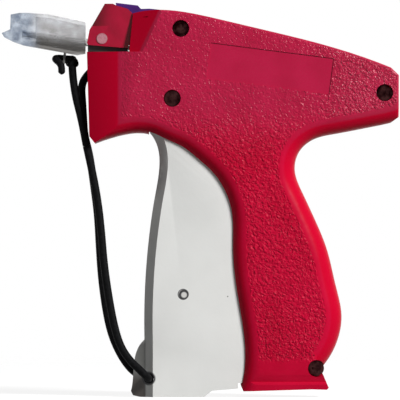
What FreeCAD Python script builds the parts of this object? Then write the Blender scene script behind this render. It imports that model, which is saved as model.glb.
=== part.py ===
"""Garment tag attacher: a hand tool that shoots plastic fasteners through a hollow needle.

Frame: X runs along the tool with the nose at -X, Y across it, Z up, and Z = 0 is the underside of the
trigger's toe, on which the tool stands. Lengths are in millimetres, angles in degrees.
Driving sizes live in the spreadsheet "sizes"; places are worked out from them.
"""

import FreeCAD, Part
import math
import os

import Sketcher
from FreeCAD import Placement, Rotation, Vector

NEAR = -1   # the half shell on the -Y side
FAR = 1     # the half shell on the +Y side

doc = FreeCAD.newDocument("tag_attacher")
sizes = doc.addObject("Spreadsheet::Sheet", "sizes")

SIZES = [
    # body of the tool
    ("half_width", 12.5, "centre plane to the side of the grip"),
    ("wall", 2.2, "wall of the two shells"),
    ("nose_x", -42.5, "front of the nose"),
    ("nose_top", 129.7, "top of the nose under its cover"),
    ("nose_bottom", 98.0, "lowest straight point of the nose's front"),
    ("nose_half_width", 6.6, "half width of the nose's front edge"),
    ("taper_start", -29.3, "where the nose starts to taper"),
    ("tail_x", 74.6, "end of the tail"),
    ("tail_top", 120.9, "top of the tail's end face"),
    ("tail_bottom", 105.2, "bottom of the tail's end face"),
    ("hand_fillet", 7.0, "rounding where the hand holds the shells"),
    ("edge_fillet", 1.0, "rounding of the other outer edges"),
    ("lip_groove", 0.7, "depth of the groove above the foot's lip"),
    # recesses in the shells' sides
    ("label_length", 46.5, "label recess along the barrel"),
    ("label_height", 13.6, "label recess across the barrel"),
    ("label_depth", 0.35, "depth of the label recess"),
    ("cheek_slope", 30.0, "slope of the cheeks behind the nose cover"),
    # screws
    ("screw_head", 6.4, "diameter of the screw holes' counterbores"),
    ("screw_shank", 3.0, "diameter of the screws"),
    ("screw_seat", 4.2, "centre plane to the underside of a screw head"),
    ("screw_reach", 7.5, "how far a screw goes past the centre plane"),
    ("boss_wall", 1.6, "wall round a counterbore or a pin"),
    # barrel line: the fastener's path from the carriage to the needle's tip
    ("barrel_tilt", 7.3, "nose-up angle of the barrel line"),
    ("barrel_height", 133.3, "height of the barrel line at the nose's front"),
    ("fit", 0.05, "radial clearance of a pin or shaft that turns or slides"),
    ("gap", 0.3, "clearance between moving faces"),
    # needle
    ("needle_reach", 24.0, "needle outside the nose"),
    ("needle_diameter", 2.8, "outside of the needle"),
    ("needle_bore", 2.0, "bore of the needle"),
    ("needle_slot", 0.8, "slot along the needle"),
    ("base_width", 5.8, "width and height of the needle's base"),
    ("base_length", 5.5, "length of the needle's base"),
    ("block_half_width", 4.2, "half width of the guide block"),
    ("hinge_pin_end", 6.7, "centre plane to the outer end of a hinge pin"),
    # ejector
    ("ejector_rod", 1.6, "diameter of the ejector rod"),
    ("stroke", 36.5, "travel of the carriage"),
    # cover
    ("cover_pin", 4.0, "diameter of the nose cover's hinge pins"),
    ("cover_half_width", 6.4, "centre plane to the nose cover's side"),
    ("cover_cavity", 4.5, "half width of the cover's hollow round the guide block"),
    ("cover_wall", 1.9, "wall of the cover's tapered front"),
    # carriage and drive
    ("guide_rod", 3.0, "diameter of the guide rods"),
    ("spring_wire", 0.6, "wire of the return springs"),
    ("guide_spread", 7.2, "centre plane to a guide rod"),
    ("carriage_half_width", 9.7, "centre plane to the carriage's side"),
    ("drive_pin", 3.0, "diameter of the drive lever's pin in the carriage"),
    ("lever_plate", 4.0, "thickness of the drive lever"),
    ("lever_width", 6.0, "width of the drive lever's arms"),
    ("lever_x", 36.0, "drive lever's pivot from the origin"),
    ("lever_z", 60.0, "drive lever's pivot above the floor"),
    ("lever_pin", 4.0, "diameter of the drive lever's pivot pin"),
    ("long_arm", 64.9, "drive lever's pivot to the drive pin"),
    ("short_arm", 17.1, "drive lever's pivot to the roller, at mid travel"),
    ("roller", 6.0, "diameter of the trigger's roller"),
    ("roller_pin", 3.0, "diameter of the roller's pin"),
    # trigger
    ("pivot_x", 23.0, "trigger's pivot from the origin"),
    ("pivot_z", 8.5, "trigger's pivot above the floor"),
    ("trigger_pin", 4.0, "diameter of the trigger's pivot pin"),
    ("squeeze", 16.4, "angle through which the trigger is squeezed"),
    ("trigger_half_width", 8.8, "centre plane to the side of the trigger"),
    ("trigger_wall", 2.4, "wall of the trigger"),
    ("trigger_bevel", 3.2, "bevel along the trigger's front edges"),
    ("toe_prow", 2.4, "half width of the toe's front end"),
    ("cross_pin", 3.6, "diameter of the trigger's cross pin"),
    # release lever
    ("latch_half_width", 4.0, "half width of the release lever"),
    ("latch_pin", 2.5, "diameter of the release lever's pin"),
    ("latch_pin_end", 8.4, "centre plane to an end of the release lever's pin"),
    # fastener feed
    ("wheel_radius", 4.8, "feed wheel's centre to the tips of its teeth"),
    ("tooth", 1.3, "depth of the feed wheel's teeth"),
    ("wheel_half", 1.4, "half width of the feed wheel"),
    ("wheel_shaft", 3.0, "diameter of the feed wheel's shaft"),
    ("clip_half", 1.4, "half width of the way of the fastener clip"),
    # needle cap
    ("cap_rear", 5.6, "half width of the cap at its open end"),
    ("cap_front", 4.4, "half width of the cap at its tip"),
    ("cap_cavity", 3.5, "half width of the cap's hollow"),
    # strap
    ("strap", 3.0, "diameter of the elastic strap"),
    ("strap_hole", 4.0, "diameter of the strap's hole in the toe"),
    ("anchor_pin", 3.0, "diameter of the strap's anchor"),
]
for row, (alias, number, note) in enumerate(SIZES, start=1):
    sizes.set(f"A{row}", note)
    sizes.set(f"B{row}", str(number))
    sizes.setAlias(f"B{row}", alias)
doc.recompute()

# ---------------------------------------------------------------- drawing helpers


def value(expression):
    """Number of an expression over the sheet, such as 'sizes.wall / 2'."""
    return float(sizes.evalExpression(str(expression)))


def plane(body, role):
    """The body's own origin plane with this role, such as XZ_Plane."""
    return next(f for f in body.Origin.OriginFeatures if f.Role == role)


def new_body(name):
    body = doc.addObject("PartDesign::Body", name)
    body.Label = name
    return body


def new_sketch(body, name, role="XZ_Plane", offset="0"):
    """A sketch on an origin plane, moved along the plane's normal by an expression."""
    sketch = body.newObject("Sketcher::SketchObject", name)
    sketch.AttachmentSupport = [(plane(body, role), "")]
    sketch.MapMode = "FlatFace"
    sketch.AttachmentOffset = Placement(Vector(0, 0, value(offset)), Rotation())
    if "sizes." in offset:
        sketch.setExpression("AttachmentOffset.Base.z", offset)
    return sketch


def draw(sketch, stretches):
    """Closed outline from stretches: two points make a line, more points make a smooth curve."""
    for points in stretches:
        ends = [Vector(x, z, 0) for x, z in points]
        if len(ends) == 2:
            sketch.addGeometry(Part.LineSegment(*ends), False)
        else:
            curve = Part.BSplineCurve()
            curve.interpolate(ends)
            sketch.addGeometry(curve, False)


def closed(points):
    """Stretches of a closed polygon."""
    return [[a, b] for a, b in zip(points, points[1:] + points[:1])]


def draw_circles(sketch, centres, diameter):
    """Circles whose diameter is bound to an expression over the sheet."""
    for centre in centres:
        circle = Part.Circle(Vector(*centre, 0), Vector(0, 0, 1), value(diameter) / 2)
        number = sketch.addGeometry(circle, False)
        bound = sketch.addConstraint(Sketcher.Constraint("Diameter", number, value(diameter)))
        sketch.setExpression(f"Constraints[{bound}]", diameter)


def fill(sketch, shape, diameter):
    """Draws circles when a diameter is given, else the stretches."""
    if diameter:
        draw_circles(sketch, shape, diameter)
    else:
        draw(sketch, shape)


def slab(body, name, shape, half, diameter=None):
    """Pad of an outline in the XZ plane, half thick to each side of the centre plane."""
    sketch = new_sketch(body, name + "_sketch")
    fill(sketch, shape, diameter)
    pad = body.newObject("PartDesign::Pad", name)
    pad.Profile = sketch
    pad.Midplane = True
    pad.Length = 2 * value(half)
    pad.setExpression("Length", f"2 * ({half})")
    doc.recompute()
    return pad


def cut_slab(body, name, shape, half, diameter=None):
    """Pocket of an outline in the XZ plane, half deep to each side of the centre plane."""
    before = body.Shape.Volume
    sketch = new_sketch(body, name + "_sketch")
    fill(sketch, shape, diameter)
    pocket = body.newObject("PartDesign::Pocket", name)
    pocket.Profile = sketch
    pocket.Midplane = True
    pocket.Length = 2 * value(half)
    pocket.setExpression("Length", f"2 * ({half})")
    doc.recompute()
    assert body.Shape.Volume < before - 1e-6, f"{name} cuts nothing"
    return pocket


def side_pad(body, side, name, shape, inner, outer, diameter=None):
    """Pad on one side of the centre plane, from the distance inner to the distance outer."""
    offset = inner if side == NEAR else f"-1 * ({inner})"
    sketch = new_sketch(body, name + "_sketch", offset=offset)
    fill(sketch, shape, diameter)
    pad = body.newObject("PartDesign::Pad", name)
    pad.Profile = sketch
    pad.Reversed = side == FAR
    pad.Length = value(f"({outer}) - ({inner})")
    pad.setExpression("Length", f"({outer}) - ({inner})")
    doc.recompute()
    return pad


def side_cut(body, side, name, shape, inner, outer, diameter=None):
    """Pocket on one side of the centre plane, from the distance outer in to the distance inner."""
    before = body.Shape.Volume
    offset = outer if side == NEAR else f"-1 * ({outer})"
    sketch = new_sketch(body, name + "_sketch", offset=offset)
    fill(sketch, shape, diameter)
    pocket = body.newObject("PartDesign::Pocket", name)
    pocket.Profile = sketch
    pocket.Reversed = side == FAR
    pocket.Length = value(f"({outer}) - ({inner})")
    pocket.setExpression("Length", f"({outer}) - ({inner})")
    doc.recompute()
    assert body.Shape.Volume < before - 1e-6, f"{name} cuts nothing"
    return pocket


def edges_where(feature, test):
    """Names of the feature's edges whose middle point and end points pass a test."""
    names = []
    for number, edge in enumerate(feature.Shape.Edges, start=1):
        middle = edge.valueAt((edge.FirstParameter + edge.LastParameter) / 2)
        if test(middle, [v.Point for v in edge.Vertexes], edge):
            names.append(f"Edge{number}")
    return names


def round_edges(body, feature, name, names, radius):
    fillet = body.newObject("PartDesign::Fillet", name)
    fillet.Base = (feature, names)
    fillet.Radius = value(radius)
    fillet.setExpression("Radius", radius)
    doc.recompute()
    return fillet


def bevel_edges(body, feature, name, names, size):
    bevel = body.newObject("PartDesign::Chamfer", name)
    bevel.Base = (feature, names)
    bevel.Size = value(size)
    bevel.setExpression("Size", size)
    doc.recompute()
    return bevel


def cut_plan(body, name, outlines, low, high):
    """Pocket of outlines in plan, between two heights."""
    before = body.Shape.Volume
    sketch = new_sketch(body, name + "_sketch", "XY_Plane", str(low))
    for outline in outlines:
        draw(sketch, closed(outline))
    pocket = body.newObject("PartDesign::Pocket", name)
    pocket.Profile = sketch
    pocket.Reversed = True
    pocket.Length = high - low
    doc.recompute()
    assert body.Shape.Volume < before - 1e-6, f"{name} cuts nothing"


def beside(profile, sides=(NEAR, FAR)):
    """Plan outlines of all that lies outside the half widths given along the tool."""
    beyond = sizes.half_width + 2.0
    return [[(x, side * y) for x, y in profile]
            + [(profile[-1][0], side * beyond), (profile[0][0], side * beyond)] for side in sides]


def turned(base, direction):
    """Placement at a base point that turns the Z axis to a direction."""
    return Placement(base, Rotation(Vector(0, 0, 1), direction))


def cylinder(name, base, direction, length, diameter):
    item = doc.addObject("Part::Cylinder", name)
    item.Label = name
    item.Radius = value(diameter) / 2
    item.setExpression("Radius", f"({diameter}) / 2")
    item.Height = length
    item.Placement = turned(base, direction)
    return item


def pin(name, centre, diameter, near_end, far_end=None):
    """Cylinder across the tool, from near_end on the near side to far_end on the far side."""
    far_end = far_end or near_end
    base = Vector(centre[0], value(far_end), centre[1])
    item = cylinder(name, base, Vector(0, -1, 0), value(f"({near_end}) + ({far_end})"), diameter)
    item.setExpression("Height", f"({near_end}) + ({far_end})")
    return item


def box(name, placement, length, width, height):
    item = doc.addObject("Part::Box", name)
    item.Length = length
    item.Width = width
    item.Height = height
    item.Placement = placement
    return item


def fuse(name, items):
    item = doc.addObject("Part::MultiFuse", name)
    item.Label = name
    item.Shapes = items
    return item


def cut(name, base, tool):
    item = doc.addObject("Part::Cut", name)
    item.Label = name
    item.Base = base
    item.Tool = tool
    return item


def group(name, items):
    """Several like pieces kept as one node."""
    item = doc.addObject("Part::Compound", name)
    item.Label = name
    item.Links = items
    return item


def drill(body, name, base, direction, length, diameter):
    """Round hole in a body, from a base point in a direction."""
    before = body.Shape.Volume
    hole = body.newObject("PartDesign::SubtractiveCylinder", name)
    hole.Radius = value(diameter) / 2
    hole.setExpression("Radius", f"({diameter}) / 2")
    hole.Height = length
    hole.Placement = turned(base, direction)
    doc.recompute()
    assert body.Shape.Volume < before - 1e-6, f"{name} cuts nothing"


def strip(points, width):
    """Closed outline of a bar of this width along a line of points."""
    flat = [Vector(x, z, 0) for x, z in points]
    left, right = [], []
    for index, point in enumerate(flat):
        runs = []
        if index > 0:
            runs.append((point - flat[index - 1]).normalize())
        if index + 1 < len(flat):
            runs.append((flat[index + 1] - point).normalize())
        along = (runs[0] + runs[-1]).normalize()
        square = Vector(-along.y, along.x, 0)
        reach = square * (width / 2 / square.dot(Vector(-runs[0].y, runs[0].x, 0)))
        left.append((point.x + reach.x, point.y + reach.y))
        right.append((point.x - reach.x, point.y - reach.y))
    return closed(left + right[::-1])


def tube(name, route, diameter):
    """Round tube along straight runs joined by tangent arcs."""
    points = [Vector(*point) for point in route]
    edges = []
    radii = []
    start = points[0]
    for before, corner, after in zip(points, points[1:], points[2:]):
        back, ahead = before - corner, after - corner
        half_turn = (math.pi - back.getAngle(ahead)) / 2
        used = 0.45 * min(back.Length, ahead.Length)
        radius = used / math.tan(half_turn)
        back.normalize()
        ahead.normalize()
        enter, leave = corner + back * used, corner + ahead * used
        middle = corner + (back + ahead).normalize() * (radius / math.cos(half_turn) - radius)
        edges.append(Part.LineSegment(start, enter).toShape())
        edges.append(Part.Arc(enter, middle, leave).toShape())
        radii.append(radius)
        start = leave
    edges.append(Part.LineSegment(start, points[-1]).toShape())
    path = Part.Wire(edges)
    section = Part.Wire(Part.makeCircle(diameter / 2, points[0], points[1] - points[0]))
    item = doc.addObject("Part::Feature", name)
    item.Shape = path.makePipeShell([section], True, False)
    expected = math.pi * diameter ** 2 / 4 * path.Length
    print(f"{name}: {path.Length:.1f} mm long, volume {item.Shape.Volume / expected:.4f} of its section "
          f"times its length, radii {', '.join(f'{radius:.1f}' for radius in radii)}")
    return item


def coil(name, base, direction, length, radius, wire, turns):
    """Coil spring from a base point in a direction."""
    helix = Part.makeHelix((length - wire) / turns, length - wire, radius)
    section = Part.Wire(Part.makeCircle(wire / 2, Vector(radius, 0, 0), Vector(0, 1, 0)))
    item = doc.addObject("Part::Feature", name)
    item.Shape = Part.Wire(helix).makePipeShell([section], True, True)
    item.Placement = turned(base + direction * (wire / 2), direction)
    return item


# ---------------------------------------------------------------- the barrel line

TILT = math.radians(sizes.barrel_tilt)
FORWARD = Vector(-math.cos(TILT), 0, math.sin(TILT))    # along the barrel line, towards the needle's tip
UPWARD = Vector(math.sin(TILT), 0, math.cos(TILT))      # square to it
BARREL_START = Vector(sizes.nose_x, 0, sizes.barrel_height)


def on_barrel(along, above=0.0):
    """(x, z) of a point given along the barrel line from the nose's front, and above the line."""
    point = BARREL_START + FORWARD * along + UPWARD * above
    return (point.x, point.z)


def barrel_point(along, above=0.0, out=0.0):
    return BARREL_START + FORWARD * along + UPWARD * above + Vector(0, out, 0)


def barrel_box(rear, front, low, high):
    """Closed outline of a rectangle that lies along the barrel line."""
    corners = [(rear, low), (front, low), (front, high), (rear, high)]
    return closed([on_barrel(*corner) for corner in corners])


# ---------------------------------------------------------------- drive geometry

PIVOT = Vector(sizes.pivot_x, 0, sizes.pivot_z)         # trigger's pivot
FULCRUM = Vector(sizes.lever_x, 0, sizes.lever_z)       # drive lever's pivot


def towards(angle):
    """Unit vector in the XZ plane, angle in radians from straight up towards +X."""
    return Vector(math.sin(angle), 0, math.cos(angle))


def xz(point):
    return (point.x, point.z)


HALF_SQUEEZE = math.radians(sizes.squeeze) / 2
PIVOT_LINE = math.atan2(FULCRUM.x - PIVOT.x, FULCRUM.z - PIVOT.z)
ROLLER_ARM = (FULCRUM - PIVOT).Length - sizes.short_arm
HALF_SWING = math.atan2(ROLLER_ARM * math.sin(HALF_SQUEEZE),
                        (FULCRUM - PIVOT).Length - ROLLER_ARM * math.cos(HALF_SQUEEZE))
ROLLER_CENTRE = PIVOT + towards(PIVOT_LINE - HALF_SQUEEZE) * ROLLER_ARM
REST_LEAN = HALF_SWING - math.acos(sizes.stroke / (2 * sizes.long_arm * math.sin(HALF_SWING)))
DRIVE_CENTRE = FULCRUM + towards(TILT + REST_LEAN) * sizes.long_arm
DRIVE_ALONG = (DRIVE_CENTRE - BARREL_START).dot(FORWARD)
DRIVE_ABOVE = (DRIVE_CENTRE - BARREL_START).dot(UPWARD)
print(f"drive lever swings {math.degrees(2 * HALF_SWING):.3f} deg for {sizes.squeeze} deg of trigger")
print(f"roller {ROLLER_CENTRE.x:.4f} from the origin and {ROLLER_CENTRE.z:.4f} above the floor")
print(f"drive pin {DRIVE_ALONG:.2f} along the barrel line and {DRIVE_ABOVE:.2f} above it")

# ---------------------------------------------------------------- the shells

ARC = [(-28.2, 98.6), (-19.2, 98.7), (-12.9, 95.9), (-7.2, 93.3), (-1.6, 89.0), (4.0, 83.9), (7.7, 78.7),
       (10.7, 70.9), (11.4, 56.0), (13.4, 36.8), (15.9, 19.5)]
LIP_FRONT = [(15.0, 6.0), (15.4, 4.2), (16.3, 2.2)]
LIP_BACK = [(42.1, 3.0), (47.6, 2.85), (48.3, 3.6)]
HEEL = (45.3, 10.6)
BACK = [(48.8, 15.2), (52.2, 23.0), (53.2, 31.0), (51.0, 42.0), (47.85, 55.05), (43.3, 66.5), (38.4, 77.0),
        (35.6, 85.6), (37.6, 92.6), (43.2, 97.0), (51.0, 98.9), (61.5, 100.9)]
TOP = [(40.1, 134.0), (15.0, 140.0), (0.0, 143.5), (-12.0, 145.3)]
BROW = (-25.2, 144.2)
BROW_FOOT_X = -26.6
TRIGGER_MOUTH = [(-19.2, 104.0), (-8.4, 101.8), (2.6, 94.9), (12.0, 85.0), (16.6, 71.4), (17.4, 52.0),
                 (19.4, 36.0), (21.6, 19.0), (27.6, 14.0), (27.6, 4.9), (12.0, 4.9), (10.0, 20.0),
                 (6.0, 52.0), (3.0, 70.0), (-10.0, 86.0), (-19.2, 92.0)]
HAND_TOP = 106.0                # the rounding for the hand lies below this height

TOP_SCREWS = [(-7.2, 138.4), (-10.4, 112.2)]
TAIL_SCREW = (69.3, 114.3)
HEEL_SCREW = (43.7, 10.8)
SCREWS = TOP_SCREWS + [TAIL_SCREW, HEEL_SCREW]
LATCH_PIVOT = (-20.2, 141.5)
WHEEL_CENTRE = (-26.5, 118.0)
INNER = "sizes.half_width - sizes.wall"
IN_WALL = "sizes.half_width - sizes.wall / 2"


def shell_outline():
    chin = (sizes.nose_x + 3.1, sizes.nose_bottom - 2.8)
    front = [(sizes.nose_x, sizes.nose_top), (sizes.nose_x + 0.9, sizes.nose_bottom), chin]
    tail = [(sizes.tail_x - 3.0, sizes.tail_bottom - 2.2), (sizes.tail_x, sizes.tail_bottom),
            (sizes.tail_x, sizes.tail_top), (sizes.tail_x - 2.9, sizes.tail_top + 2.85)]
    straight = [front[0:2], front[1:3], LIP_FRONT[0:2], LIP_FRONT[1:3], [LIP_FRONT[2], LIP_BACK[0]],
                LIP_BACK[0:2], LIP_BACK[1:3], [LIP_BACK[2], HEEL], tail[0:2], tail[1:3], tail[2:4],
                [BROW, (BROW_FOOT_X, sizes.nose_top)], [(BROW_FOOT_X, sizes.nose_top), front[0]]]
    curved = [[chin] + ARC + [LIP_FRONT[0]], [HEEL] + BACK + [tail[0]], [tail[3]] + TOP + [BROW]]
    return straight + curved


def edge_of(points):
    """Line or smooth curve through points of the XY plane."""
    ends = [Vector(x, z, 0) for x, z in points]
    if len(ends) == 2:
        return Part.LineSegment(*ends).toShape()
    curve = Part.BSplineCurve()
    curve.interpolate(ends)
    return curve.toShape()


def inner_face(inset):
    """Face inside the shell's outline, behind the solid nose."""
    outline = Part.Wire(Part.__sortEdges__([edge_of(points) for points in shell_outline()]))
    inner = Part.Face(outline).makeOffset2D(-inset, 0, False, False)
    return inner.common(Part.makePlane(200, 200, Vector(sizes.taper_start - 0.6, -20, 0)))


def draw_face(sketch, face):
    for edge in face.Faces[0].OuterWire.Edges:
        if edge.Curve.TypeId == "Part::GeomLine":
            sketch.addGeometry(Part.LineSegment(*[v.Point for v in edge.Vertexes]), False)
        else:
            nurbs = edge.toNurbs().Edges[0]
            curve = nurbs.Curve
            curve.segment(nurbs.FirstParameter, nurbs.LastParameter)
            sketch.addGeometry(curve, False)


def cut_face(body, side, name, face, depth):
    """Pocket of a face from the centre plane, to a distance from it."""
    before = body.Shape.Volume
    sketch = new_sketch(body, name + "_outline")
    draw_face(sketch, face)
    pocket = body.newObject("PartDesign::Pocket", name)
    pocket.Profile = sketch
    pocket.Reversed = side == NEAR
    pocket.Length = value(depth)
    pocket.setExpression("Length", depth)
    doc.recompute()
    assert body.Shape.Volume < before - 1e-6, f"{name} cuts nothing"


def hollow(body, side):
    """Hollow in two steps, so that the wall keeps its thickness behind the rounding for the hand."""
    step = "(sizes.wall + sizes.hand_fillet) / 2"
    hand_zone = Part.makePlane(200, HAND_TOP + 50, Vector(sizes.taper_start - 0.6, -50, 0))
    wide = inner_face(sizes.wall)
    deep = wide.cut(wide.cut(inner_face(value(step))).common(hand_zone))
    cut_face(body, side, "hollow", wide, f"sizes.half_width - {step}")
    cut_face(body, side, "deep_hollow", deep, INNER)


def nose_half_width(x, inset=0.0):
    """Half width of the tapered nose at a place along the tool, less an inset."""
    slope = (sizes.half_width - sizes.nose_half_width) / (sizes.taper_start - sizes.nose_x)
    return min(sizes.half_width, sizes.nose_half_width + slope * (x - sizes.nose_x)) - inset


def nose_profile(inset=0.0):
    stations = (sizes.nose_x - 2.0, sizes.taper_start)
    return [(x, nose_half_width(x, inset)) for x in stations]


# the strap's anchor stands square on the far side of the nose
NOSE_TURN = math.atan2(sizes.half_width - sizes.nose_half_width, sizes.taper_start - sizes.nose_x)
ANCHOR_OUT = Vector(-math.sin(NOSE_TURN), math.cos(NOSE_TURN), 0)
ANCHOR_FOOT = Vector(-38.0, nose_half_width(-38.0), 121.0)


CHEEK_FOOT = (-21.5, sizes.nose_top)    # lower end of the line where the cheek reaches the shell's side
CHEEK_LEAN = (0.428, 0.904)             # direction of that line


def cheek_outline(out):
    """Outline of what the slanted cheek cuts away at a distance from the centre plane."""
    lean_x, lean_z = CHEEK_LEAN
    shift = (out - sizes.half_width) / math.tan(math.radians(sizes.cheek_slope)) / lean_z
    top = 150.0
    foot_x = CHEEK_FOOT[0] + shift
    head_x = foot_x + (top - CHEEK_FOOT[1]) * lean_x / lean_z
    return closed([(-38.0, CHEEK_FOOT[1]), (foot_x, CHEEK_FOOT[1]), (head_x, top), (-38.0, top)])


def cut_cheek(body, side):
    """Slanted face behind the nose cover: a straight-sided cut that narrows towards the centre plane."""
    before = body.Shape.Volume
    outlines = []
    for name, out in (("cheek_outer", "sizes.half_width + 1"), ("cheek_inner", "sizes.cover_half_width")):
        sketch = new_sketch(body, name, offset=out if side == NEAR else f"-1 * ({out})")
        draw(sketch, cheek_outline(value(out)))
        outlines.append(sketch)
    loft = body.newObject("PartDesign::SubtractiveLoft", "cheek")
    loft.Profile = outlines[0]
    loft.Sections = outlines[1:]
    loft.Ruled = True
    doc.recompute()
    assert body.Shape.Volume < before - 1e-6, "the cheek cuts nothing"


def label_corners():
    """The bare label recess lies along the barrel line."""
    return barrel_box(-46.3 - sizes.label_length, -46.3, -7.9, -7.9 + sizes.label_height)


def build_shell(side, name):
    body = new_body(name)
    outer = side_pad(body, side, "outer", shell_outline(), "0", "sizes.half_width")
    face_y = side * sizes.half_width
    hand = edges_where(outer, lambda m, ends, e: e.Length > 80 and abs(m.y - face_y) < 0.01 and m.z < 100)
    rounded = round_edges(body, outer, "hand_rounding", hand, "sizes.hand_fillet")
    back = edges_where(rounded, lambda m, ends, e: abs(m.y - face_y) < 0.01 and m.x > -22 and m.z > 104)
    round_edges(body, rounded, "back_rounding", back, "sizes.edge_fillet")
    cut_plan(body, "nose_taper", beside(nose_profile(), [side]), 0.0, 200.0)
    hollow(body, side)
    # the nose is solid but for its middle
    nose_floor = 101.0
    side_cut(body, side, "nose_hollow", closed([(sizes.nose_x + sizes.wall, nose_floor),
             (sizes.taper_start, nose_floor), (sizes.taper_start, 131.0), (sizes.nose_x + sizes.wall, 131.0)]),
             "0", "sizes.nose_half_width - 1.8")
    # behind the cheek the wall is made up inside
    side_pad(body, side, "cheek_backing", closed([(-26.0, 127.4), (-19.4, 127.4), (-12.6, 142.6), (-24.6, 142.6)]),
             "sizes.latch_half_width + sizes.gap", IN_WALL)
    side_cut(body, side, "brow_mouth", closed([(-31.0, 125.0), (-22.0, 125.0), (-24.0, 138.6), (-24.3, 143.4),
             (-31.0, 143.4)]), "0", "6.5")
    side_cut(body, side, "trigger_mouth", closed(TRIGGER_MOUTH), "0", "sizes.trigger_half_width + sizes.gap")
    side_cut(body, side, "label_recess", label_corners(),
             "sizes.half_width - sizes.label_depth", "sizes.half_width + 1")
    # bosses
    boss = "sizes.screw_head + 2 * sizes.boss_wall"
    side_pad(body, side, "top_bosses", TOP_SCREWS, "0", IN_WALL, boss)
    side_pad(body, side, "tail_boss", [TAIL_SCREW], "0", IN_WALL, boss)
    heel_x, heel_z = HEEL_SCREW
    side_pad(body, side, "heel_boss", closed([(heel_x - 4.8, heel_z - 6.0), (43.2, heel_z - 6.0),
             (43.4, heel_z), (45.4, heel_z + 5.0), (heel_x - 2.0, heel_z + 5.0), (heel_x - 4.8, heel_z + 2.0)]),
             "0", IN_WALL)
    side_pad(body, side, "lever_boss", [xz(FULCRUM)], "sizes.lever_plate / 2 + sizes.gap", IN_WALL,
             "sizes.lever_pin + 2 * sizes.boss_wall")
    side_pad(body, side, "pivot_boss", [xz(PIVOT)], "sizes.trigger_half_width + sizes.gap", IN_WALL,
             "sizes.trigger_pin + 2 * sizes.boss_wall")
    side_pad(body, side, "latch_boss", [LATCH_PIVOT], "sizes.latch_half_width + sizes.gap",
             "sizes.latch_pin_end + 0.8", "sizes.latch_pin + 2 * sizes.boss_wall")
    side_cut(body, side, "latch_slot", closed([(-29.0, 139.6), (-25.6, 138.3), (-16.0, 138.3), (-12.2, 141.5),
             (-12.2, 148.0), (-29.0, 148.0)]), "0", "sizes.latch_half_width + sizes.gap")
    side_pad(body, side, "wheel_boss", [WHEEL_CENTRE], "sizes.wheel_half + sizes.gap", IN_WALL,
             "sizes.wheel_shaft + 2 * sizes.boss_wall")
    side_pad(body, side, "block_shelf", closed([(-40.4, 121.6), (-29.6, 121.6), (-29.6, 124.3), (-40.4, 124.3)]),
             "sizes.clip_half + 1.0", "sizes.nose_half_width - 1.6")
    # holes
    side_cut(body, side, "clip_exit", closed([(-35.2, 92.0), (-30.8, 92.0), (-30.8, 102.0), (-35.2, 102.0)]),
             "0", "sizes.clip_half")
    side_cut(body, side, "wheel_shaft_hole", [WHEEL_CENTRE], "sizes.wheel_half", "sizes.half_width - 1.2",
             "sizes.wheel_shaft")
    side_cut(body, side, "lever_pin_hole", [xz(FULCRUM)], "sizes.lever_plate / 2", "sizes.half_width - 1.2",
             "sizes.lever_pin")
    side_cut(body, side, "pivot_pin_hole", [xz(PIVOT)], "sizes.trigger_half_width", "sizes.half_width - 1.2",
             "sizes.trigger_pin")
    side_cut(body, side, "latch_pin_hole", [LATCH_PIVOT], "sizes.latch_half_width", "sizes.latch_pin_end",
             "sizes.latch_pin")
    cut_cheek(body, side)
    if side == NEAR:
        side_cut(body, side, "counterbores", SCREWS, "sizes.screw_seat", "sizes.half_width + 1",
                 "sizes.screw_head")
        side_cut(body, side, "screw_holes", SCREWS, "0", "sizes.screw_seat",
                 "sizes.screw_shank + 2 * sizes.fit")
    else:
        side_cut(body, side, "pilot_holes", SCREWS, "0", "sizes.screw_reach + 0.5", "sizes.screw_shank")
        drill(body, "anchor_hole", ANCHOR_FOOT - ANCHOR_OUT * 2.0, ANCHOR_OUT, 10.0, "sizes.anchor_pin")
    # groove above the lip of the foot
    groove = new_sketch(body, "groove_profile", "YZ_Plane", "10")
    edge = side * sizes.half_width
    draw(groove, closed([(edge, 4.7), (edge - side * sizes.lip_groove, 5.8), (edge, 8.3),
                         (edge + side, 8.3), (edge + side, 4.7)]))
    before = body.Shape.Volume
    lip = body.newObject("PartDesign::Pocket", "lip_groove")
    lip.Profile = groove
    lip.Reversed = True
    lip.Length = 45.0
    doc.recompute()
    assert body.Shape.Volume < before, "the lip groove cuts nothing"
    return body


nodes = {}
nodes["near_shell"] = build_shell(NEAR, "near_shell")
nodes["far_shell"] = build_shell(FAR, "far_shell")


# ---------------------------------------------------------------- trigger

TRIGGER_TOP = (-18.5, 101.5)
TRIGGER_FRONT = [(-18.8, 99.2), (-15.5, 92.0), (-15.4, 85.0), (-17.1, 74.5), (-19.3, 59.0), (-20.7, 41.0),
                 (-20.9, 21.5)]
TOE = [(-20.9, 21.5), (-23.9, 17.0), (-24.9, 12.0), (-26.0, 2.2)]
SOLE = [(-26.0, 2.2), (-25.2, 0.6), (-22.5, 0.0), (1.4, 0.0), (4.6, 2.4), (14.3, 3.2), (14.3, 5.3),
        (20.0, 5.3)]
TRIGGER_BACK = [(24.6, 12.0), (21.0, 14.6), (18.9, 20.0), (17.2, 30.0), (15.9, 40.0), (14.3, 50.0),
                (14.0, 62.0), (13.4, 71.5), (10.9, 79.8), (6.5, 86.6), (0.3, 92.4), (-6.0, 96.8),
                (-12.0, 99.8)]
STRAP_HOLE = (-19.3, 7.0)
CROSS_PIN = (-6.3, 38.6)
HUB_RADIUS = 3.6


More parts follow.
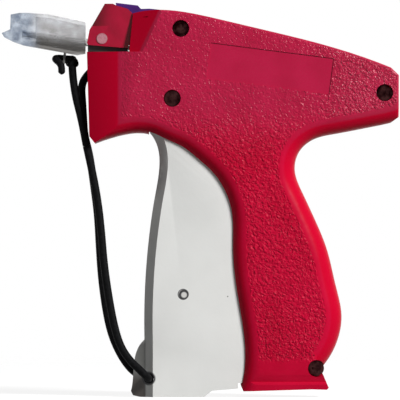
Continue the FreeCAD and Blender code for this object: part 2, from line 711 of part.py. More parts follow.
def build_trigger():
    body = new_body("trigger")
    hub = [(PIVOT.x, PIVOT.z - HUB_RADIUS), (PIVOT.x + HUB_RADIUS, PIVOT.z)]
    outline = ([[TRIGGER_TOP, TRIGGER_FRONT[0]], TRIGGER_FRONT, TOE]
               + [list(pair) for pair in zip(SOLE, SOLE[1:])]
               + [[SOLE[-1], hub[0]], hub, [hub[1], TRIGGER_BACK[0]]]
               + [list(pair) for pair in zip(TRIGGER_BACK, TRIGGER_BACK[1:])]
               + [[TRIGGER_BACK[-1], TRIGGER_TOP]])
    blank = slab(body, "blank", outline, "sizes.trigger_half_width")
    side = sizes.trigger_half_width
    front = edges_where(blank, lambda m, ends, e: abs(abs(m.y) - side) < 0.01 and m.x < -15 and e.Length > 10)
    bevel_edges(body, blank, "front_bevel", front, "sizes.trigger_bevel")
    toe_x, toe_z = TOE[0]
    slant = [(SOLE[0][0] - 1.0, sizes.toe_prow), (toe_x, side - sizes.trigger_bevel),
             (toe_x + sizes.trigger_bevel, side)]
    cut_plan(body, "toe_slant", beside(slant), -1.0, toe_z)
    w = sizes.trigger_wall
    cavity = closed([(-14.9, 106.0), (-15.5 + w, 92.0), (-15.4 + w, 85.0), (-17.1 + w, 74.5),
                     (-19.3 + w, 59.0), (-20.7 + w, 41.0), (-20.9 + w, 21.5), (-20.9 + w, 15.0),
                     (28.0, 15.0), (28.0, 106.0)])
    cut_slab(body, "cavity", cavity, "sizes.trigger_half_width - sizes.trigger_wall")
    roller = xz(ROLLER_CENTRE)
    arms = closed([(-19.0, 35.5), (-19.0, 50.0), (roller[0] - 1.0, roller[1] + 4.2),
                   (roller[0] + 3.2, roller[1] + 3.0), (roller[0] + 4.2, roller[1]),
                   (roller[0] + 3.2, roller[1] - 3.0), (roller[0] - 1.0, roller[1] - 4.2)])
    slab(body, "roller_arms", arms, "sizes.lever_plate / 2 + 2.6")
    cut_slab(body, "lever_way", closed([(-18.0, 30.0), (-18.0, 56.0), (40.0, 56.0), (40.0, 30.0)]),
             "sizes.lever_plate / 2 + sizes.gap")
    cut_slab(body, "pivot_hole", [xz(PIVOT)], "sizes.half_width", "sizes.trigger_pin + 2 * sizes.fit")
    cut_slab(body, "roller_pin_hole", [roller], "sizes.half_width", "sizes.roller_pin")
    cut_slab(body, "cross_pin_hole", [CROSS_PIN], "sizes.half_width", "sizes.cross_pin")
    cut_slab(body, "strap_hole", [STRAP_HOLE], "sizes.half_width", "sizes.strap_hole")
    return body


nodes["trigger"] = build_trigger()
nodes["trigger_pivot_pin"] = pin("trigger_pivot_pin", xz(PIVOT), "sizes.trigger_pin", "sizes.half_width - 1.2")
nodes["trigger_cross_pin"] = pin("trigger_cross_pin", CROSS_PIN, "sizes.cross_pin", "sizes.trigger_half_width")
nodes["roller_pin"] = pin("roller_pin", xz(ROLLER_CENTRE), "sizes.roller_pin", "sizes.lever_plate / 2 + 2.6")


def ring(name, centre, outside, bore, half):
    """Ring or bush across the tool."""
    body = new_body(name)
    slab(body, "ring", [centre], half, outside)
    cut_slab(body, "bore", [centre], half, bore)
    return body


nodes["trigger_roller"] = ring("trigger_roller", xz(ROLLER_CENTRE), "sizes.roller",
                               "sizes.roller_pin + 2 * sizes.fit", "sizes.lever_plate / 2")

# ---------------------------------------------------------------- drive lever


def build_drive_lever():
    body = new_body("drive_lever")
    half = "sizes.lever_plate / 2"
    elbow = [(29.2, 82.0), (29.2, 93.0)]
    slab(body, "long_arm", strip([xz(FULCRUM)] + elbow + [xz(DRIVE_CENTRE)], sizes.lever_width), half)
    slab(body, "hub", [xz(FULCRUM)], half, "sizes.lever_pin + 4.4")
    slab(body, "drive_eye", [xz(DRIVE_CENTRE)], half, "sizes.drive_pin + 3.4")
    down = (ROLLER_CENTRE - FULCRUM).normalize()
    fork_width = sizes.roller + 2 * sizes.gap + 4.0
    tip = xz(FULCRUM + down * (sizes.short_arm + 4.4))
    slab(body, "fork", strip([xz(FULCRUM), tip], fork_width), half)
    way = [xz(FULCRUM + down * (sizes.short_arm - 4.2)), xz(FULCRUM + down * (sizes.short_arm + 6.0))]
    cut_slab(body, "roller_way", strip(way, sizes.roller + 2 * sizes.gap), half)
    cut_slab(body, "pivot_hole", [xz(FULCRUM)], half, "sizes.lever_pin + 2 * sizes.fit")
    cut_slab(body, "drive_pin_hole", [xz(DRIVE_CENTRE)], half, "sizes.drive_pin")
    return body


nodes["drive_lever"] = build_drive_lever()
nodes["lever_pivot_pin"] = pin("lever_pivot_pin", xz(FULCRUM), "sizes.lever_pin", "sizes.half_width - 1.2")
nodes["drive_pin"] = pin("drive_pin", xz(DRIVE_CENTRE), "sizes.drive_pin", "sizes.lever_plate / 2 + 2.8")

# ---------------------------------------------------------------- carriage, rods and springs

CARRIAGE_FRONT = DRIVE_ALONG + 11.0
CARRIAGE_REAR = DRIVE_ALONG - 4.0
FRONT_HOLDER = -36.5            # front face of the front rod holder, along the barrel line
HOLDER = 3.0                    # thickness of the rod holders
REAR_HOLDER = CARRIAGE_REAR - 0.6
ROD_DROP = -2.0                 # guide rods below the barrel line
PIN_PLAY = 2 * sizes.gap        # the drive pin's play along the barrel line
LOWEST_PIN = ((FULCRUM - BARREL_START).dot(UPWARD)
              + sizes.long_arm * math.cos(2 * HALF_SWING - REST_LEAN))
SPREADS = {"near": -sizes.guide_spread, "far": sizes.guide_spread}


def build_carriage():
    body = new_body("carriage")
    slab(body, "block", barrel_box(CARRIAGE_REAR, CARRIAGE_FRONT, -8.0, 4.5), "sizes.carriage_half_width")
    way = "sizes.lever_plate / 2 + sizes.gap"
    cut_slab(body, "lever_way", barrel_box(CARRIAGE_REAR - 1, CARRIAGE_FRONT - 2.0, -9.0, 6.0), way)
    cut_slab(body, "front_way", barrel_box(CARRIAGE_FRONT - 3, CARRIAGE_FRONT + 1, -9.0, -3.0), way)
    play = sizes.drive_pin / 2 + PIN_PLAY
    low = LOWEST_PIN - sizes.drive_pin / 2 - sizes.gap
    cut_slab(body, "pin_ways", barrel_box(DRIVE_ALONG - play, DRIVE_ALONG + play, low, 6.0),
             "sizes.lever_plate / 2 + 3.1")
    for side, out in SPREADS.items():
        drill(body, f"guide_hole_{side}", barrel_point(CARRIAGE_REAR - 1, ROD_DROP, out), FORWARD, 20.0,
              "sizes.guide_rod + 2 * sizes.fit")
    drill(body, "rod_hole", barrel_point(CARRIAGE_FRONT - 3), FORWARD, 4.0, "sizes.ejector_rod")
    return body


def build_rod_holder(name, rear, front):
    body = new_body(name)
    slab(body, "plate", barrel_box(rear, front, ROD_DROP - 4.0, ROD_DROP + 4.2), INNER)
    cut_slab(body, "notch", barrel_box(rear - 1, front + 1, -1.6, 5.0), "2.2")
    for side, out in SPREADS.items():
        drill(body, f"hole_{side}", barrel_point(rear - 1, ROD_DROP, out), FORWARD, front - rear + 2.0,
              "sizes.guide_rod")
    return body


def rod(name, along_from, along_to, diameter, above=0.0, out=0.0):
    return cylinder(name, barrel_point(along_from, above, out), FORWARD, along_to - along_from, diameter)


ROD_REAR = REAR_HOLDER - 2.2
SPRING_SPACE = FRONT_HOLDER - HOLDER - CARRIAGE_FRONT
SPRING_RADIUS = sizes.guide_rod / 2 + sizes.fit + sizes.spring_wire / 2
COILS = 12

nodes["carriage"] = build_carriage()
nodes["front_rod_holder"] = build_rod_holder("front_rod_holder", FRONT_HOLDER - HOLDER, FRONT_HOLDER)
nodes["rear_rod_holder"] = build_rod_holder("rear_rod_holder", ROD_REAR, REAR_HOLDER)
nodes["guide_rods"] = group("guide_rods", [
    rod(f"guide_rod_{side}", ROD_REAR, FRONT_HOLDER, "sizes.guide_rod", ROD_DROP, out)
    for side, out in SPREADS.items()])
nodes["return_springs"] = group("return_springs", [
    coil(f"coil_{side}", barrel_point(CARRIAGE_FRONT, ROD_DROP, out), FORWARD, SPRING_SPACE, SPRING_RADIUS,
         sizes.spring_wire, COILS)
    for side, out in SPREADS.items()])

# ---------------------------------------------------------------- needle, base and guide block

BASE_FRONT = -2.6               # front of the needle's base, along the barrel line
BASE_REAR = BASE_FRONT - sizes.base_length
BLADE = 0.6                     # thickness of the cutter blade
CLIP_FRONT = BASE_REAR - BLADE  # where the fastener clip passes
CLIP_REAR = CLIP_FRONT - 3.8
BLOCK_REAR = CLIP_REAR - 3.0
BLOCK_FRONT_X = -40.2
BLOCK_FLOOR = 124.3
ROD_TIP = CLIP_REAR - 0.5       # the ejector rod's tip at rest
COVER_PIVOT = (-36.8, 134.7)
TIP_BEVEL = math.radians(30)

nodes["ejector_rod"] = rod("ejector_rod", CARRIAGE_FRONT - 2.0, ROD_TIP, "sizes.ejector_rod")


def build_needle():
    """Hollow needle with a slot along its far side and a bevelled tip."""
    seat = BASE_REAR + 0.5
    tip = sizes.needle_reach
    outside = rod("needle_outside", seat, tip, "sizes.needle_diameter")
    bore = rod("needle_bore_tool", seat - 1, tip + 1, "sizes.needle_bore")
    slot = box("needle_slot_tool", turned(barrel_point(seat - 1, -sizes.needle_slot / 2), FORWARD),
               sizes.needle_slot, sizes.needle_diameter, tip - seat + 2)
    heel = tip - sizes.needle_diameter / math.tan(TIP_BEVEL)
    slope = FORWARD * math.cos(TIP_BEVEL) - UPWARD * math.sin(TIP_BEVEL)
    bevel = box("needle_bevel_tool", turned(barrel_point(heel, sizes.needle_diameter / 2, -3.0), slope),
                6.0, 6.0, 12.0)
    return cut("needle", outside, fuse("needle_tools", [bore, slot, bevel]))


def build_needle_base():
    body = new_body("needle_base")
    half = "sizes.base_width / 2"
    slab(body, "block", barrel_box(BASE_REAR, BASE_FRONT, -sizes.base_width / 2, sizes.base_width / 2), half)
    drill(body, "needle_socket", barrel_point(BASE_REAR + 0.5), FORWARD, 8.0, "sizes.needle_diameter")
    drill(body, "rod_way", barrel_point(BASE_REAR - 1), FORWARD, 4.0, "sizes.needle_bore")
    return body


def build_cutter_blade():
    body = new_body("cutter_blade")
    slab(body, "plate", barrel_box(CLIP_FRONT, BASE_REAR, -sizes.base_width / 2, sizes.base_width / 2),
         "sizes.base_width / 2")
    drill(body, "rod_way", barrel_point(CLIP_FRONT - 1), FORWARD, 4.0, "sizes.needle_bore")
    return body


def build_guide_block():
    body = new_body("guide_block")
    foot = (BLOCK_FLOOR - sizes.barrel_height - BLOCK_REAR * math.sin(TILT)) / math.cos(TILT)
    slab(body, "block", closed([(BLOCK_FRONT_X, BLOCK_FLOOR), on_barrel(-2.4, 0.5), on_barrel(BLOCK_REAR, 0.5),
                                on_barrel(BLOCK_REAR, foot)]), "sizes.block_half_width")
    slab(body, "ears", barrel_box(-8.0, -2.6, -1.0, 4.6), "sizes.block_half_width")
    cut_slab(body, "channel", barrel_box(BLOCK_REAR - 1, 0.0, -sizes.base_width / 2, 6.0),
             "sizes.base_width / 2")
    cut_slab(body, "clip_way", barrel_box(CLIP_REAR, CLIP_FRONT, -12.0, 0.0), "sizes.clip_half")
    cut_slab(body, "ear_holes", [COVER_PIVOT], "sizes.half_width", "sizes.cover_pin")
    lips = closed([(-42.2, BLOCK_FLOOR + 5.6), (-39.9, BLOCK_FLOOR + 5.6), (-39.9, 133.0), (-42.2, 132.7)])
    side_pad(body, NEAR, "near_lip", lips, "sizes.base_width / 2", "sizes.block_half_width")
    side_pad(body, FAR, "far_lip", lips, "sizes.base_width / 2", "sizes.block_half_width")
    return body


nodes["needle"] = build_needle()
nodes["needle_base"] = build_needle_base()
nodes["cutter_blade"] = build_cutter_blade()
nodes["guide_block"] = build_guide_block()
nodes["cover_hinge_pins"] = group("cover_hinge_pins", [
    pin("hinge_pin_near", COVER_PIVOT, "sizes.cover_pin", "sizes.hinge_pin_end", "-1 * sizes.base_width / 2"),
    pin("hinge_pin_far", COVER_PIVOT, "sizes.cover_pin", "-1 * sizes.base_width / 2", "sizes.hinge_pin_end")])

# ---------------------------------------------------------------- fastener feed

TEETH = 10


def star(centre, outer, inner, count):
    """Closed outline of a toothed wheel in the XZ plane."""
    points = []
    for tooth in range(count):
        for share, radius in ((0.0, outer), (0.25, outer), (0.5, inner), (0.75, inner)):
            angle = 2 * math.pi * (tooth + share) / count
            points.append((centre[0] + radius * math.cos(angle), centre[1] + radius * math.sin(angle)))
    return closed(points)


def build_feed_wheel():
    body = new_body("feed_wheel")
    slab(body, "star", star(WHEEL_CENTRE, sizes.wheel_radius, sizes.wheel_radius - sizes.tooth, TEETH),
         "sizes.wheel_half")
    cut_slab(body, "bore", [WHEEL_CENTRE], "sizes.wheel_half", "sizes.wheel_shaft + 2 * sizes.fit")
    return body


LEAF = 0.4                      # thickness of the detent leaf
LEAF_LINE = [on_barrel(BLOCK_REAR - LEAF / 2, -1.0), on_barrel(BLOCK_REAR - LEAF / 2, -7.0), (-22.4, 121.9)]


def build_detent_leaf():
    body = new_body("detent_leaf")
    slab(body, "leaf", strip(LEAF_LINE, LEAF), "sizes.wheel_half")
    return body


nodes["feed_wheel"] = build_feed_wheel()
nodes["feed_shaft"] = pin("feed_shaft", WHEEL_CENTRE, "sizes.wheel_shaft", "sizes.half_width - 1.2")
nodes["detent_leaf"] = build_detent_leaf()

# ---------------------------------------------------------------- nose cover

COVER_OUTLINE = [(-42.0, 132.3), (-42.45, 133.1), (-41.5, 138.0), (-35.8, 147.8), (-32.7, 147.8),
                 (-31.5, 147.15), (-27.2, 145.9), (-25.4, 144.2), (-25.85, 139.5), (-27.1, 131.1)]
COVER_HOLLOW = [(-40.9, 128.0), (-40.3, 137.4), (-35.0, 146.3), (-22.0, 146.3), (-22.0, 128.0)]
COVER_SHOULDER = 139.4          # above it the cover's front tapers
TAPER_END_X = -34.2
TAPER_SLOPE = 0.41
TONGUE = [(-26.6, 130.5), (-25.4, 130.5), (-25.1, 142.8), (-27.0, 142.8), (-27.4, 132.4), (-26.6, 132.3)]


def build_nose_cover():
    body = new_body("nose_cover")
    slab(body, "blank", closed(COVER_OUTLINE), "sizes.cover_half_width")
    front_x = sizes.nose_x - 1.5
    front_y = sizes.cover_half_width - TAPER_SLOPE * (TAPER_END_X - front_x)
    cut_plan(body, "front_taper", beside([(front_x, front_y), (TAPER_END_X, sizes.cover_half_width)]),
             COVER_SHOULDER, 160.0)
    cut_slab(body, "hollow", closed(COVER_HOLLOW), "sizes.cover_cavity - sizes.cover_wall")
    room_top = COVER_SHOULDER - 0.7
    cut_slab(body, "block_room", closed([COVER_HOLLOW[0], (-39.6, room_top), (-22.0, room_top), COVER_HOLLOW[4]]),
             "sizes.cover_cavity")
    side_pad(body, NEAR, "near_tongue", closed(TONGUE), "sizes.clip_half", "sizes.cover_half_width - 0.5")
    side_pad(body, FAR, "far_tongue", closed(TONGUE), "sizes.clip_half", "sizes.cover_half_width - 0.5")
    cut_slab(body, "lever_notch", closed([(-32.2, 140.0), (-32.2, 150.0), (-22.0, 150.0), (-22.0, 140.0)]),
             "sizes.latch_half_width + 2 * sizes.gap")
    cut_slab(body, "needle_notch", closed([(-44.0, 130.0), (-38.0, 130.0), (-38.0, 137.4), (-44.0, 137.4)]),
             "sizes.cover_cavity")
    cut_slab(body, "clip_mouth", closed([(-35.5, 140.0), (-31.0, 140.0), (-31.0, 150.0), (-35.5, 150.0)]),
             "sizes.clip_half")
    cut_slab(body, "hinge_holes", [COVER_PIVOT], "sizes.half_width", "sizes.cover_pin + 2 * sizes.fit")
    return body


nodes["nose_cover"] = build_nose_cover()

# ---------------------------------------------------------------- release lever

LATCH_OUTLINE = [(-31.7, 148.2), (-23.4, 147.2), (-22.2, 145.9), (-19.0, 146.0), (-13.1, 145.4), (-12.9, 143.6),
                 (-17.5, 140.0), (-20.25, 138.9), (-23.0, 140.2), (-24.3, 142.7), (-26.2, 142.9), (-26.4, 145.3),
                 (-31.5, 146.7)]


def build_release_lever():
    body = new_body("release_lever")
    slab(body, "lever", closed(LATCH_OUTLINE), "sizes.latch_half_width")
    cut_slab(body, "pin_hole", [LATCH_PIVOT], "sizes.latch_half_width", "sizes.latch_pin + 2 * sizes.fit")
    return body


nodes["release_lever"] = build_release_lever()
nodes["release_lever_pin"] = pin("release_lever_pin", LATCH_PIVOT, "sizes.latch_pin", "sizes.latch_pin_end")

# ---------------------------------------------------------------- needle cap

CAP_REAR_X = -43.1
CAP_TIP = (-74.6, 136.8)
CAP_OUTLINE = [(CAP_REAR_X, 129.0), (-46.3, 128.5), (-54.0, 129.9), (-66.4, 132.15), (-70.2, 133.5),
               (-73.6, 135.2), CAP_TIP, (-71.4, 138.2), (-71.2, 143.8), (-67.9, 144.4), (-64.7, 144.4),
               (-56.8, 143.8), (CAP_REAR_X, 140.8)]
CAP_HOLLOW = [(-42.0, 130.2), (-46.2, 129.8), (-53.9, 131.2), (-61.8, 132.6), (-61.8, 142.9), (-56.7, 142.5),
              (-42.0, 139.3)]
LUG = (7.3, 8.2)                # rear and front of the strap's lug, along the barrel line
STRAP_DROP = -6.8               # the strap's loop below the barrel line
LOOP = (4.8, 10.9)              # ends of the strap's loop under the cap


def build_needle_cap():
    body = new_body("needle_cap")
    slab(body, "blank", closed(CAP_OUTLINE), "sizes.cap_rear")
    taper = [(CAP_TIP[0] - 1.0, sizes.cap_front), (CAP_REAR_X + 1.0, sizes.cap_rear)]
    cut_plan(body, "taper", beside(taper), 120.0, 160.0)
    slab(body, "lug", barrel_box(*LUG, STRAP_DROP - sizes.strap / 2 - 1.0, -4.0), "sizes.strap / 2 + 0.9")
    cut_slab(body, "hollow", closed(CAP_HOLLOW), "sizes.cap_cavity")
    drill(body, "needle_socket", barrel_point(15.0), FORWARD, sizes.needle_reach + 0.6 - 15.0,
          "sizes.needle_diameter + 4 * sizes.fit")
    drill(body, "lug_hole", barrel_point(LUG[0] - 1, STRAP_DROP), FORWARD, LUG[1] - LUG[0] + 2,
          "sizes.strap + 2 * sizes.fit")
    return body


nodes["needle_cap"] = build_needle_cap()

# ---------------------------------------------------------------- screws

RECESS = (3.4, 0.9, 1.2)        # cross recess: length and width of its bars, depth


def build_screw(number, centre):
    head_end = "sizes.screw_seat + 2.2"
    head = pin(f"screw_head_{number}", centre, "sizes.screw_head - 0.6", head_end, "-1 * sizes.screw_seat")
    shank = pin(f"screw_shank_{number}", centre, "sizes.screw_shank", "sizes.screw_seat + 0.5",
                "sizes.screw_reach")
    long, short, deep = RECESS
    outer = value(head_end)
    bars = [box(f"recess_{number}_{index}", Placement(Vector(centre[0] - across / 2, -outer - 0.1,
                centre[1] - up / 2), Rotation()), across, deep + 0.1, up)
            for index, (across, up) in enumerate(((long, short), (short, long)))]
    return cut(f"screw_{number}", fuse(f"screw_blank_{number}", [head, shank]),
               fuse(f"recess_{number}", bars))


nodes["shell_screws"] = group("shell_screws", [build_screw(*item) for item in enumerate(SCREWS)])

# ---------------------------------------------------------------- strap

KNOT = 4.2                      # diameter of the knot
KNOT_LENGTH = 3.5
STRAP_UPPER = [(-48.1, -0.2, 124.4), (-47.9, -1.0, 120.5), (-46.8, -1.9, 113.0), (-45.2, -2.4, 106.8),
               (-43.9, -2.7, 101.0), (-42.7, -2.9, 94.5)]
STRAP_NEAR = [(-42.66, -2.91, 94.3), (-40.1, -3.5, 83.0), (-38.1, -4.8, 71.5), (-37.0, -6.0, 61.0),
              (-36.1, -7.0, 50.0), (-34.3, -8.2, 37.5), (-32.1, -9.6, 26.0), (-29.6, -11.0, 18.4),
              (-25.8, -11.6, 13.2), (-22.9, -12.0, 10.6), (-21.1, -12.2, 8.85), (-20.0, -11.5, 7.7),
              (-19.3, -10.0, 7.0), (-19.3, -5.2, 7.0)]
STRAP_FAR = [(-40.7, 9.37, 123.1), (-43.6, 8.1, 120.2), (-44.8, 6.0, 116.4), (-44.4, 4.8, 111.5),
             (-44.0, 4.1, 105.0), (-43.6, 3.7, 98.5), (-41.6, 3.4, 91.0), (-40.1, 3.9, 80.5),
             (-38.5, 4.7, 68.5), (-37.9, 5.5, 56.5), (-37.1, 6.5, 44.5), (-35.5, 7.7, 32.5),
             (-33.6, 8.8, 23.8), (-31.0, 10.1, 17.4), (-27.9, 11.3, 12.2), (-24.9, 12.0, 8.9),
             (-21.85, 12.2, 7.25), (-20.3, 11.5, 7.1), (-19.3, 10.0, 7.0), (-19.3, 5.2, 7.0)]


def build_strap_knot():
    """Loop under the cap, the knot and the cut end of the strap."""
    loop = rod("strap_loop", *LOOP, "sizes.strap", STRAP_DROP)
    start, after = Vector(*STRAP_UPPER[0]), Vector(*STRAP_UPPER[1])
    along = (after - start).normalize()
    knot = cylinder("knot", start - along * KNOT_LENGTH, along, KNOT_LENGTH, KNOT)
    tail_start, tail_end = Vector(-53.8, -1.8, 127.4), Vector(-51.9, -5.8, 121.0)
    tail = cylinder("strap_tail", tail_start, tail_end - tail_start, (tail_end - tail_start).Length,
                    "sizes.strap - 0.2")
    return fuse("strap_knot", [loop, knot, tail])


def build_strap_anchor():
    """Headed pin square to the tapered side of the nose."""
    root = 2.0
    neck = sizes.strap + 2 * sizes.gap
    post = cylinder("anchor_post", ANCHOR_FOOT - ANCHOR_OUT * root, ANCHOR_OUT, root + neck, "sizes.anchor_pin")
    head = cylinder("anchor_head", ANCHOR_FOOT + ANCHOR_OUT * neck, ANCHOR_OUT, 0.7, "sizes.anchor_pin + 2.4")
    return fuse("strap_anchor", [post, head])


def build_strap_eye():
    """Eye of the strap round its anchor."""
    item = doc.addObject("Part::Torus", "strap_eye")
    item.Radius1 = sizes.anchor_pin / 2 + sizes.fit + sizes.strap / 2
    item.Radius2 = sizes.strap / 2
    item.setExpression("Radius2", "sizes.strap / 2")
    item.Placement = turned(ANCHOR_FOOT + ANCHOR_OUT * (sizes.strap / 2 + sizes.gap), ANCHOR_OUT)
    return item


nodes["strap_knot"] = build_strap_knot()
nodes["strap_upper"] = tube("strap_upper", STRAP_UPPER, sizes.strap)
nodes["strap_near"] = tube("strap_near", STRAP_NEAR, sizes.strap)
nodes["strap_far"] = tube("strap_far", STRAP_FAR, sizes.strap)
nodes["strap_anchor"] = build_strap_anchor()
nodes["strap_eye"] = build_strap_eye()
doc.recompute()

# ---------------------------------------------------------------- hand in

for item in doc.Objects:
    if "Invalid" in item.State or "Error" in item.State:
        raise RuntimeError(f"{item.Label}: {item.State}")
os.makedirs("parts", exist_ok=True)
for name, item in nodes.items():
    shape = item.Shape
    if shape.isNull() or not shape.isValid():
        raise RuntimeError(f"{name} has no valid shape")
    print(f"{name}: {len(shape.Solids)} solid(s), {shape.Volume:.0f} mm3")
    shape.exportStep(f"parts/{name}.step")
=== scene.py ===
# %% [markdown]
# # A garment tag attacher, dressed for the studio
# The tool shoots a plastic fastener through a hollow needle, so that a price tag hangs on a garment.
# Its solids arrive as a fixed frame, already in place and in metres. This lesson gives every one of them
# its finish and makes the soft pieces, the strap and the springs, whose shape a plain solid only hints at.

# %% Load the frame
import math

import bmesh
import bpy
import numpy as np
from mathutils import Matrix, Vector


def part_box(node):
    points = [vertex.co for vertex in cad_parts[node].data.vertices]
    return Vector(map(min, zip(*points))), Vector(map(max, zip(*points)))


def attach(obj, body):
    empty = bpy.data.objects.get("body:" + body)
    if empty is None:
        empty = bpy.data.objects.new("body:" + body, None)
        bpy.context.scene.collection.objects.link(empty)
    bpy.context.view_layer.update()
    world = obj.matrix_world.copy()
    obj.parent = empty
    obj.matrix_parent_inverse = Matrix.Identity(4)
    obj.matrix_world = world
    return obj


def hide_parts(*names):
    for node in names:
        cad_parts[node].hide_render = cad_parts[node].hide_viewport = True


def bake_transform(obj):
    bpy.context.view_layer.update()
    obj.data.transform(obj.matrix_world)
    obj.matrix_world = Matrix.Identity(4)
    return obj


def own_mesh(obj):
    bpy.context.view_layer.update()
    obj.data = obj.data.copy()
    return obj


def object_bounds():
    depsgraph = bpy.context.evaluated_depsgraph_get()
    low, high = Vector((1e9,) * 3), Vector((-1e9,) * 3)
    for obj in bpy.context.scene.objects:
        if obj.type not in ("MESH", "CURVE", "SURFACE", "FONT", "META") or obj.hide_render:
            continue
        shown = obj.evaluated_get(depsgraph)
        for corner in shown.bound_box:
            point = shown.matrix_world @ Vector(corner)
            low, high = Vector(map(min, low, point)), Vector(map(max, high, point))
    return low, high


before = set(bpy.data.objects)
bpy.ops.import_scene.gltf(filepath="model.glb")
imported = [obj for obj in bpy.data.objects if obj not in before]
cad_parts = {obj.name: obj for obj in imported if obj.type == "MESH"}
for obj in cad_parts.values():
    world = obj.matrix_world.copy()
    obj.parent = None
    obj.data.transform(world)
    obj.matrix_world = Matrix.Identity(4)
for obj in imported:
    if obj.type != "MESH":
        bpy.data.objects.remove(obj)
cad_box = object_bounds()
scene = bpy.context.scene
MM = 0.001
print("parts in the frame:", len(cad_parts))

# %% [markdown]
# ## The camera
# A small tool is shown from far away with a long lens, because a near camera would swell whatever is
# closest to it. The view is square to the tool's side and one hundred and fifty millimetres wide where
# the near side of the body lies, so the lens follows from the distance.

# %% Camera
VIEW_WIDTH = 0.150
VIEW_MIDDLE = 0.07403
SIDE = 0.0125
CAMERA_DISTANCE = 3.0
SENSOR = 36.0

camera_data = bpy.data.cameras.new("camera")
camera_data.sensor_width = SENSOR
camera_data.lens = SENSOR * CAMERA_DISTANCE / VIEW_WIDTH
camera_data.clip_start = 0.05
camera_data.clip_end = 20.0
camera = bpy.data.objects.new("camera", camera_data)
camera.location = (0.0, -SIDE - CAMERA_DISTANCE, VIEW_MIDDLE)
camera.rotation_euler = (math.radians(90), 0.0, 0.0)
scene.collection.objects.link(camera)
scene.camera = camera
print("lens in millimetres:", round(camera_data.lens))

# %% [markdown]
# ## Helpers for shader nodes
# A material is a graph. These helpers place a node, join two sockets and fill a socket with a number, so
# that each material below reads as a list of what it is made of. An effect that several finishes share
# becomes a node group with named inputs and outputs.

# %% Node helpers


def node(tree, kind, **settings):
    """A new node of this kind, with its own settings such as operation or blend_type."""
    made = tree.nodes.new(kind)
    for key, setting in settings.items():
        setattr(made, key, setting)
    return made


def feed(tree, target, source):
    """Joins a source socket to a target socket, or sets the target to a plain value."""
    if isinstance(source, bpy.types.NodeSocket):
        tree.links.new(source, target)
    else:
        target.default_value = source


def calculate(tree, operation, first, second=0.0, third=None):
    """Output of a Math node."""
    made = node(tree, "ShaderNodeMath", operation=operation)
    feed(tree, made.inputs[0], first)
    feed(tree, made.inputs[1], second)
    if third is not None:
        feed(tree, made.inputs[2], third)
    return made.outputs[0]


def mix_colours(tree, share, first, second):
    """Colour that goes from first to second with the share."""
    made = node(tree, "ShaderNodeMix", data_type="RGBA")
    feed(tree, made.inputs["Factor"], share)
    feed(tree, made.inputs[6], first)
    feed(tree, made.inputs[7], second)
    return made.outputs[2]


def ramp(tree, source, low, high):
    """Share that climbs smoothly from 0 to 1 while the source goes from low to high."""
    made = node(tree, "ShaderNodeMapRange", interpolation_type="SMOOTHSTEP")
    feed(tree, made.inputs["Value"], source)
    feed(tree, made.inputs["From Min"], low)
    feed(tree, made.inputs["From Max"], high)
    return made.outputs["Result"]


def falling(tree, source, low, high):
    """Share that drops smoothly from 1 to 0 while the source goes from low to high."""
    return calculate(tree, "SUBTRACT", 1.0, ramp(tree, source, low, high))


def axes(tree, place):
    """The three coordinates of a place, as outputs named X, Y and Z."""
    split = node(tree, "ShaderNodeSeparateXYZ")
    feed(tree, split.inputs[0], place)
    return split.outputs


def shown_white(tree):
    """Share that is 1 for rays from the camera, a mirror or a clear part, and 0 for rays that bring light."""
    rays = node(tree, "ShaderNodeLightPath")
    seen = calculate(tree, "MAXIMUM", rays.outputs["Is Camera Ray"], rays.outputs["Is Glossy Ray"])
    return calculate(tree, "MAXIMUM", seen, rays.outputs["Is Transmission Ray"])


def new_group(name, inputs, outputs):
    """A shader node group. Inputs are (name, kind, default) and outputs are (name, kind)."""
    tree = bpy.data.node_groups.new(name, "ShaderNodeTree")
    for label, kind, default in inputs:
        socket = tree.interface.new_socket(name=label, in_out="INPUT", socket_type="NodeSocket" + kind)
        if default is not None:
            socket.default_value = default
    for label, kind in outputs:
        tree.interface.new_socket(name=label, in_out="OUTPUT", socket_type="NodeSocket" + kind)
    return tree, tree.nodes.new("NodeGroupInput"), tree.nodes.new("NodeGroupOutput")


def use_group(tree, group, **values):
    """Places a group in a material and feeds its inputs, whose names have spaces for underscores."""
    made = node(tree, "ShaderNodeGroup", node_tree=group)
    for label, source in values.items():
        feed(tree, made.inputs[label.replace("_", " ")], source)
    return made


print("node helpers are ready")

# %% [markdown]
# ## Shared effects
# The mould of the body was etched, so its flat sides carry a leather-like grain: rounded pebbles with
# wandering creases between them. Noise alone looks like clouds and cells alone look like tiles, so the
# group bends the cells with noise and lets a second noise swell some of them.

# %% Leather grain group


